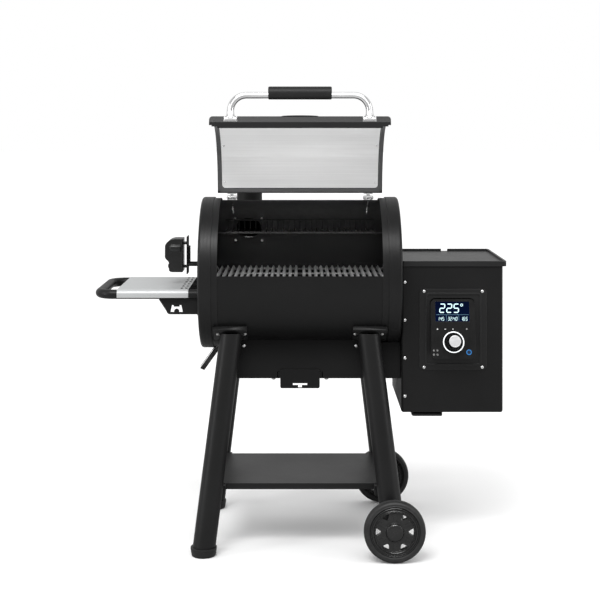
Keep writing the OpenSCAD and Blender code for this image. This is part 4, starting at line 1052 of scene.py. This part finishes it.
# screws seen inside the drum, round the exhaust port
bm = bmesh.new()
for i in (-1, 1):
    for j in (-1, 1):
        a_ = math.radians(PORT_A - 0.9 + j * 11.3)
        r = SHELL_R - 2.05
        m = frame_at((-178 + i * 46, r * math.cos(a_), BZ + r * math.sin(a_)),
                     (0, -math.cos(a_), -math.sin(a_)), (1, 0, 0))
        revolve(bm, [(0, 0.0), (4.4, 0.0), (4.4, 2.6), (3.9, 3.2), (2.6, 3.4), (2.4, 4.4), (0, 4.6)], m, 24)
for s in (-1, 1):
    for t in (-1, 1):
        for rr in (0, 1):
            a_ = math.radians(51.6 + 5.2 * rr)
            r = SHELL_R - 2.9
            m = frame_at((s * 229 + t * 0.0, r * math.cos(a_), BZ + r * math.sin(a_)),
                         (0, -math.cos(a_), -math.sin(a_)), (1, 0, 0))
            if t > 0:
                revolve(bm, [(0, 0.0), (3.6, 0.0), (3.6, 2.2), (3.0, 2.7), (1.9, 2.8), (1.8, 3.8), (0, 4.0)], m, 20)
    # hinge strap that runs up the inside of the drum
    lo, hi = [], []
    for k in range(9):
        a_ = 49.0 + 2.75 * k
        for r, row in ((SHELL_R - 1.9, lo), (SHELL_R - 3.0, hi)):
            row.append([bm.verts.new(drum_pt(s * 229 + w, r, a_)) for w in (-1.7, 1.7)])
    for a, b in zip(lo, lo[1:]):
        bm.faces.new((a[0], a[1], b[1], b[0]))
    for a, b in zip(hi, hi[1:]):
        bm.faces.new((a[0], b[0], b[1], a[1]))
    for a, b, c, d in zip(lo, lo[1:], hi, hi[1:]):
        bm.faces.new((a[0], b[0], d[0], c[0]))
        bm.faces.new((a[1], c[1], d[1], b[1]))
    bm.faces.new((lo[0][0], hi[0][0], hi[0][1], lo[0][1]))
    bm.faces.new((lo[-1][0], lo[-1][1], hi[-1][1], hi[-1][0]))
ob = add_obj("port_nuts", bm, M["bolt"], 38)
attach(ob, "root")

# ------------------------------------------------------------------ controller face
def panel_prism(bm, pts, z0, z1):
    prism(bm, pts, PANEL, z0, z1)


SEG = {"0": "abcdef", "1": "bc", "2": "abged", "3": "abgcd", "4": "fgbc", "5": "afgcd",
       "6": "afgedc", "7": "abc", "8": "abcdefg", "9": "abcdfg"}


def seven(bm, ch, x, y, w, h, t, slant, z0, z1):
    """One slanted seven-segment digit with its lower-left corner at x, y."""
    def sh(px, py):
        return (x + px + slant * py, y + py)
    g = t * 0.12
    k = t / 2
    def hor(cy):
        return [(k + g, cy), (k + g + k, cy + k), (w - k - g - k, cy + k), (w - k - g, cy),
                (w - k - g - k, cy - k), (k + g + k, cy - k)]
    def ver(cx, ya, yb):
        return [(cx, ya + g), (cx + k, ya + g + k), (cx + k, yb - g - k), (cx, yb - g),
                (cx - k, yb - g - k), (cx - k, ya + g + k)]
    shapes = {"a": hor(h - k), "g": hor(h / 2), "d": hor(k),
              "f": ver(k, h / 2, h - k), "b": ver(w - k, h / 2, h - k),
              "e": ver(k, k, h / 2), "c": ver(w - k, k, h / 2)}
    for s in SEG[ch]:
        panel_prism(bm, [sh(*p) for p in shapes[s]], z0, z1)


ZF = -0.09
bm = bmesh.new()
for ch, x0, x1 in (("2", -43.5, -25.6), ("2", -21.2, -3.3), ("5", 1.0, 18.9)):
    seven(bm, ch, x0, 50.3, x1 - x0, 29.6, 3.2, 0.09, ZF, 0.12)
revolve_closed(bm, [(2.6, ZF), (4.4, ZF), (4.4, 0.12), (2.6, 0.12)],
               PANEL @ Matrix.Translation((28.5 * MM, 75.2 * MM, 0)), 28)
ob = add_obj("digits_large", bm, M["digit"], 30)
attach(ob, "root")
bm = bmesh.new()
for text, x0, x1 in (("145", -50.4, -27.0), ("165", 23.8, 47.2)):
    w = (x1 - x0) / 3
    for i, ch in enumerate(text):
        seven(bm, ch, x0 + i * w, 25.8, w * 0.78, 11.6, 1.15, 0.12, ZF, 0.10)
x = -17.0
for ch in "32:40":
    if ch == ":":
        for yy in (29.0, 34.2):
            revolve(bm, [(0, ZF), (0.85, ZF), (0.85, 0.10), (0, 0.10)],
                    PANEL @ Matrix.Translation(((x + 0.8) * MM, yy * MM, 0)), 12)
        x += 2.9
    else:
        seven(bm, ch, x, 25.8, 5.6, 11.6, 1.1, 0.12, ZF, 0.10)
        x += 7.2
ob = add_obj("digits_small", bm, M["digit"], 30)
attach(ob, "root")
bm = bmesh.new()
panel_prism(bm, rpoly(104, 0.9, 0.4, -1.5, 44.6, 2), ZF, 0.06)
for cx in (-20.8, 18.6):
    panel_prism(bm, rpoly(0.9, 17.0, 0.4, cx, 34.6, 2), ZF, 0.06)
for cx in (-46.5, 16.0):
    panel_prism(bm, [(cx - 1.6, 46.2), (cx + 1.6, 46.2), (cx, 43.0)], 0.07, 0.10)
ob = add_obj("display_rules", bm, M["dim"], 30)
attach(ob, "root")

# thin bezel bead round the display
bm = bmesh.new()
for i in range(1):
    out_ = rpoly(112.0, 66.6, 4.6, -1.5, 54.7, 7)
    in_ = rpoly(108.6, 63.2, 3.2, -1.5, 54.7, 7)
    rings = []
    for f, h in ((0.0, 0.0), (0.15, 0.30), (0.5, 0.42), (0.85, 0.26), (1.0, -0.05)):
        rings.append([bm.verts.new(PANEL @ Vector(((a[0] + (b[0] - a[0]) * f) * MM,
                                                   (a[1] + (b[1] - a[1]) * f) * MM, h * MM)))
                      for a, b in zip(out_, in_)])
    bot = [[bm.verts.new(PANEL @ Vector((p[0] * MM, p[1] * MM, -0.08 * MM))) for p in in_],
           [bm.verts.new(PANEL @ Vector((p[0] * MM, p[1] * MM, -0.08 * MM))) for p in out_]]
    rings = rings[1:-1]
    rings = [bot[1]] + rings + [bot[0]]
    n = len(out_)
    for k in range(len(rings)):
        a, b = rings[k], rings[(k + 1) % len(rings)]
        for q in range(n):
            bm.faces.new((a[q], a[(q + 1) % n], b[(q + 1) % n], b[q]))
ob = add_obj("display_bead", bm, M["gloss"], 50)
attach(ob, "root")

# white ring round the knob, printed marks, button ring; the white ring and the marks glow with painted light
KN = PANEL @ Matrix.Translation((0.2 * MM, -41.8 * MM, 0))
bm = bmesh.new()
revolve_closed(bm, [(30.2, 0.02), (33.6, 0.02), (33.6, 0.30), (33.2, 0.45), (30.6, 0.45), (30.2, 0.30)], KN, 128)
ob = add_obj("knob_ring_light", bm, M["white"], 40)
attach(ob, "root")
bm = bmesh.new()
panel_prism(bm, [(-52.4, -2.6), (-47.6, -2.6), (-48.6, 0.2), (-50.0, 1.9), (-51.4, 0.2)], 0.02, 0.2)
panel_prism(bm, rpoly(5.6, 1.8, 0.8, -25.3, -0.9, 3), 0.02, 0.2)
panel_prism(bm, rpoly(4.2, 1.6, 0.7, -0.9, -1.2, 3), 0.02, 0.2)
panel_prism(bm, rpoly(2.4, 1.0, 0.4, -0.9, 0.6, 3), 0.02, 0.2)
ob = add_obj("panel_marks", bm, M["mark"], 30)
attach(ob, "root")
bm = bmesh.new()
revolve_closed(bm, [(1.2, 0.02), (2.3, 0.02), (2.3, 0.2), (1.2, 0.2)],
               PANEL @ Matrix.Translation((42.8 * MM, -0.7 * MM, 0)), 24)
panel_prism(bm, rpoly(0.8, 3.0, 0.35, 42.8, 1.2, 2), 0.02, 0.2)
ob = add_obj("panel_marks_dim", bm, M["mark_dim"], 30)
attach(ob, "root")
PB = PANEL @ Matrix.Translation((47.7 * MM, -73.4 * MM, 0))
bm = bmesh.new()
revolve_closed(bm, [(5.7, 1.98), (8.6, 1.98), (8.6, 2.12), (8.2, 2.3), (6.0, 2.3), (5.7, 2.12)], PB, 64)
ob = add_obj("power_ring_light", bm, M["blue"], 40)
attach(ob, "power_button")
bm = bmesh.new()
for a0, a1 in ((115, 425),):
    n = 26
    outer = [(3.3 * math.cos(math.radians(a0 + (a1 - a0) * k / n)), 3.3 * math.sin(math.radians(a0 + (a1 - a0) * k / n))) for k in range(n + 1)]
    inner = [(2.3 * math.cos(math.radians(a0 + (a1 - a0) * k / n)), 2.3 * math.sin(math.radians(a0 + (a1 - a0) * k / n))) for k in range(n + 1)]
    lo = [[bm.verts.new(PB @ Vector((p[0] * MM, p[1] * MM, z * MM))) for p in line] for z in (1.98, 2.2) for line in (outer, inner)]
    o0, i0, o1, i1 = lo
    for k in range(n):
        bm.faces.new((o1[k], o1[k + 1], i1[k + 1], i1[k]))
        bm.faces.new((o0[k], i0[k], i0[k + 1], o0[k + 1]))
        bm.faces.new((o0[k], o0[k + 1], o1[k + 1], o1[k]))
        bm.faces.new((i0[k], i1[k], i1[k + 1], i0[k + 1]))
    bm.faces.new((o0[0], o1[0], i1[0], i0[0]))
    bm.faces.new((o0[n], i0[n], i1[n], o1[n]))
prism(bm, rpoly(1.0, 3.4, 0.4, 0, 2.9, 2), PB, 1.98, 2.2)
ob = add_obj("power_symbol", bm, M["blue_dim"], 30)
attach(ob, "power_button")

# knob: fluted skirt, soft shoulder and a spun metal cap
bm = bmesh.new()
prof = [(0, 0.8), (27.2, 0.8), (28.0, 1.5), (28.1, 4.6), (27.3, 6.6), (25.6, 7.6), (25.0, 8.8)]
seg = 192
rings = []
def knob_ring(r, z, flute):
    out = []
    for i in range(seg):
        a = 2 * math.pi * i / seg
        rr = r - 0.3 * flute * (0.5 + 0.5 * math.cos(24 * a)) ** 2
        out.append(bm.verts.new(KN @ Vector((rr * MM * math.cos(a), rr * MM * math.sin(a), z * MM))))
    return out
for r, z, fl in ((27.2, 0.8, 0), (28.0, 1.5, 0), (28.1, 4.6, 0), (27.3, 6.6, 0), (25.8, 7.8, 0.1),
                 (25.2, 10.0, 1.1), (24.4, 18.0, 1.3), (23.4, 28.0, 1.3), (22.6, 35.0, 1.2),
                 (21.9, 37.6, 0.7), (20.8, 39.0, 0.2), (19.4, 39.5, 0.0), (18.7, 39.4, 0)):
    rings.append(knob_ring(r, z, fl))
for a, b in zip(rings, rings[1:]):
    for i in range(seg):
        bm.faces.new((a[i], a[(i + 1) % seg], b[(i + 1) % seg], b[i]))
bm.faces.new(rings[0])
bm.faces.new(rings[-1])
ob = add_obj("knob_body", bm, M["knob"], 35)
finish_piece(ob, "control_knob", "control_knob", slot="black_plastic")
bm = bmesh.new()
capp = [(18.6, 39.0), (18.7, 40.6), (18.2, 41.4), (17.4, 41.8), (16.6, 41.8), (16.2, 41.45), (15.9, 41.5)]
capp += [(15.9 * (1 - k / 10), 41.5 + 0.35 * math.sin(math.pi / 2 * k / 10)) for k in range(1, 11)]
capp[-1] = (0, 41.85)
revolve(bm, [(0, 39.0)] + capp, KN, 96)
ob = add_obj("knob_cap", bm, None or M["chrome"], 30)
ob.data.materials.clear()


def spun(name):
    """Circular-turned aluminium."""
    m, t, put = material(name)
    inv = KN.inverted()
    co = t.n("TexCoord", out="Object")
    ctr = KN.translation
    d = t.n("VectorMath", {0: co, 1: tuple(ctr)}, operation="SUBTRACT")
    ln = t.n("VectorMath", {0: d}, out="Value", operation="LENGTH")
    ring = t.noise(t.n("CombineXYZ", {"X": t.math("MULTIPLY", ln, 5200.0)}), 1.0, 2.0, 0.6)
    cloud = t.noise(co, 90.0, 2.0, 0.5)
    bev, em = edge_mask(t, 0.0006, 0.3)
    col = t.mix(ring, rgb(0.86, 0.86, 0.87), rgb(0.95, 0.95, 0.96))
    # edges painted paler: partly wear, partly a painted edge highlight
    put(base=t.mix(em, col, rgb(0.97)), metal=0.6, rough=t.remap(cloud, 0.3, 0.7, 0.30, 0.42),
        normal=t.bump(ring, 0.25, 0.00005, bev), aniso=0.5)
    return m


M["knob_cap"] = spun("knob_cap_aluminium")
ob.data.materials.append(M["knob_cap"])
finish_piece(ob, "control_knob", "control_knob", slot="black_plastic")

# ------------------------------------------------------------------ weld bead and flue rim
def bead(name, centre_pts, r, mat, body, wob=0.25, segs=10, step=3.2, seed=3):
    """A hand-laid weld bead along a closed line (mm)."""
    rng = random.Random(seed)
    pts = [Vector(p) for p in centre_pts]
    n = len(pts)
    bm = bmesh.new()
    rings = []
    for i, p in enumerate(pts):
        a, b = pts[i - 1], pts[(i + 1) % n]
        tan = (b - a).normalized()
        ref = Vector((0, 0, 1)) if abs(tan.z) < 0.9 else Vector((0, 1, 0))
        u = tan.cross(ref).normalized()
        w = tan.cross(u)
        rr = r * (1 + wob * 0.5 * math.sin(i * 2.1) + rng.uniform(-wob, wob) * 0.3)
        rings.append([bm.verts.new((p + (u * math.cos(2 * math.pi * k / segs) + w * math.sin(2 * math.pi * k / segs)) * rr) * MM)
                      for k in range(segs)])
    for i in range(n):
        a, b = rings[i], rings[(i + 1) % n]
        for k in range(segs):
            bm.faces.new((a[k], a[(k + 1) % segs], b[(k + 1) % segs], b[k]))
    ob = add_obj(name, bm, mat, 60)
    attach(ob, body)
    return ob


# flue to flange
fa = math.radians(PORT_A)
pts = []
for k in range(120):
    t_ = 2 * math.pi * k / 120
    lx = 44.9 * math.cos(t_)
    ly = 44.9 * math.sin(t_)
    # on the flange's cylinder, radius 244.6
    rr = 244.9
    off = math.sqrt(rr * rr - ly * ly)
    y = off * math.cos(fa) - ly * math.sin(fa)
    z = off * math.sin(fa) + ly * math.cos(fa)
    pts.append((-178 + lx, y, BZ + z))
bead("flue_weld", pts, 1.7, M["flue"], "root")
# rolled rim at the top of the flue
bm = bmesh.new()
loop = [(44.4 + 1.5 * math.cos(math.radians(a)), 1294.6 + 1.7 * math.sin(math.radians(a))) for a in range(0, 360, 30)]
revolve_closed(bm, loop, Matrix.Translation((-178 * MM, 280 * MM, 0)), 72)
ob = add_obj("flue_rim", bm, M["flue"], 60)
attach(ob, "root")

# ------------------------------------------------------------------ floor, light, camera
def floor_material():
    m = bpy.data.materials.new("studio_floor")
    m.use_nodes = True
    nt = m.node_tree
    nt.nodes.clear()
    t = Tree(nt)
    out = nt.nodes.new("ShaderNodeOutputMaterial")
    path = nt.nodes.new("ShaderNodeLightPath")
    cam_d = t.n("BsdfDiffuse", {"Color": rgb(1.0)})
    low_d = t.n("BsdfDiffuse", {"Color": rgb(0.42)})
    mx = nt.nodes.new("ShaderNodeMixShader")
    nt.links.new(path.outputs["Is Camera Ray"], mx.inputs[0])
    nt.links.new(low_d, mx.inputs[1])
    nt.links.new(cam_d, mx.inputs[2])
    nt.links.new(mx.outputs[0], out.inputs[0])
    return m


bm = bmesh.new()
bmesh.ops.create_grid(bm, x_segments=2, y_segments=2, size=70.0)
me = bpy.data.meshes.new("studio_floor")
bm.to_mesh(me)
bm.free()
floor = bpy.data.objects.new("studio_floor", me)
bpy.context.scene.collection.objects.link(floor)
me.materials.append(floor_material())

scene = bpy.context.scene
world = bpy.data.worlds.new("studio")
scene.world = world
world.use_nodes = True
nt = world.node_tree
nt.nodes.clear()
t = Tree(nt)
out = nt.nodes.new("ShaderNodeOutputWorld")
path = nt.nodes.new("ShaderNodeLightPath")
vec = t.n("TexCoord", out="Generated")
vx, vy, vz = (t.xyz(vec, i) for i in range(3))
# reflections: mid grey wall behind, darker towards the camera, soft glow above the horizon
back = t.remap(vy, -0.3, 0.9, 0.0, 1.0, True)
up = t.remap(vz, -0.05, 0.9, 0.0, 1.0, True)
side = t.remap(t.math("ABSOLUTE", vx), 0.45, 1.0, 0.0, 1.0, True)
v = t.math("ADD", 0.34, t.math("MULTIPLY", back, 0.22))
v = t.math("ADD", v, t.math("MULTIPLY", side, 0.22))
v = t.math("ADD", v, t.math("MULTIPLY", up, 0.05))
gloss = t.n("Background", {"Color": rgb(1, 1, 1), "Strength": v})
white = t.n("Background", {"Color": rgb(1, 1, 1), "Strength": 1.0})
amb = t.n("Background", {"Color": rgb(1, 1, 1), "Strength": 0.92})
m1 = nt.nodes.new("ShaderNodeMixShader")
m2 = nt.nodes.new("ShaderNodeMixShader")
nt.links.new(path.outputs["Is Glossy Ray"], m1.inputs[0])
nt.links.new(amb, m1.inputs[1])
nt.links.new(gloss, m1.inputs[2])
nt.links.new(path.outputs["Is Camera Ray"], m2.inputs[0])
nt.links.new(m1.outputs[0], m2.inputs[1])
nt.links.new(white, m2.inputs[2])
nt.links.new(m2.outputs[0], out.inputs[0])


def area(name, loc, target, sx, sy, power, spread=180.0):
    li = bpy.data.lights.new(name, "AREA")
    li.shape = "RECTANGLE"
    li.size, li.size_y = sx, sy
    li.energy = power
    li.spread = math.radians(spread)
    ob = bpy.data.objects.new(name, li)
    ob.location = loc
    d = Vector(target) - Vector(loc)
    ob.rotation_euler = d.to_track_quat("-Z", "Y").to_euler()
    ob.visible_camera = False
    bpy.context.scene.collection.objects.link(ob)
    return ob


sun = bpy.data.lights.new("key_sun", "SUN")
sun.energy = 0.9
sun.angle = math.radians(24)
so = bpy.data.objects.new("key_sun", sun)
so.rotation_euler = (Vector((0.24, 0.62, -0.84))).to_track_quat("-Z", "Y").to_euler()
scene.collection.objects.link(so)
area("strip_left", (-3.2, -1.6, 1.5), (-0.2, 0.0, 0.8), 0.6, 2.4, 22)
area("strip_right", (3.3, -1.2, 1.6), (0.2, 0.0, 0.8), 0.6, 2.4, 16)
area("over_front", (0.0, -1.9, 3.2), (0.0, 0.0, 0.9), 3.2, 0.8, 30)


def only(light, *objs):
    """The light falls on these objects alone."""
    c = bpy.data.collections.new(light.name + "_on")
    for o in objs:
        c.objects.link(o)
    light.light_linking.receiver_collection = c


fill = area("liner_fill", (0.0, -2.3, 0.75), (0.0, 0.0, 1.2), 2.2, 0.9, 8)
only(fill, *(bpy.data.objects[n] for n in ("lid_liner_sheet", "lid_hem_frame")))
lift = area("liner_lift", (0.0, -0.50, 0.30), (0.0, -0.12, 1.30), 1.3, 0.5, 9)
lift.data.use_shadow = False
only(lift, *(bpy.data.objects[n] for n in ("lid_liner_sheet", "lid_hem_frame")))
shiny = [bpy.data.objects[n] for n in ("handle_tube", "screws_bright", "port_nuts")]
only(area("chrome_front", (0.0, -2.6, 2.35), (0.0, 0.0, 1.5), 4.0, 1.8, 25), *shiny)
only(area("chrome_top", (0.0, -0.5, 3.2), (0.0, -0.2, 1.2), 3.0, 2.0, 15), *shiny)
rims = [o for o in bpy.data.objects if o.name.startswith("wheel_") and o.type == "MESH" and "_axle" not in o.name]
only(area("wheel_card", (0.45, -1.9, 1.7), (0.29, -0.34, 0.1), 1.1, 0.35, 28), *rims)
g = area("grate_light", (0.0, -0.9, 1.9), (0.0, 0.0, 0.85), 0.9, 0.5, 40)
tip = area("grate_rear_light", (0.0, -0.35, 1.75), (0.0, 0.22, 0.85), 0.9, 0.3, 26)
only(tip, *(bpy.data.objects[n] for n in ("grate_cast_left", "grate_cast_right")))
only(g, *(bpy.data.objects[n] for n in ("grate_cast_left", "grate_cast_right")))

cam = bpy.data.cameras.new("camera")
cam.lens = 78.0
cam.sensor_width = 36.0
cam.sensor_fit = "HORIZONTAL"
cam.clip_end = 60.0
co = bpy.data.objects.new("camera", cam)
co.location = (0.0, -4.305, 1.347)
co.rotation_euler = (math.radians(90), 0, 0)
scene.collection.objects.link(co)
scene.camera = co
home = bpy.data.objects.new("camera_home", None)
home.location = co.location
scene.collection.objects.link(home)
# the lens shift belongs to the main view only: it fades when the camera stands elsewhere
fc = cam.driver_add("shift_y")
for md in list(fc.modifiers):
    fc.modifiers.remove(md)
dr = fc.driver
dr.type = "AVERAGE"
var = dr.variables.new()
var.type = "LOC_DIFF"
var.targets[0].id = co
var.targets[1].id = home
for a, b in ((0.0, -0.295), (0.4, 0.0)):
    fc.keyframe_points.insert(a, b).interpolation = "LINEAR"
fc.extrapolation = "CONSTANT"
fc.update()
scene.view_settings.view_transform = "Standard"
scene.view_settings.look = "None"
scene.view_settings.exposure = 0.0
scene.view_settings.gamma = 1.0
bpy.context.view_layer.update()
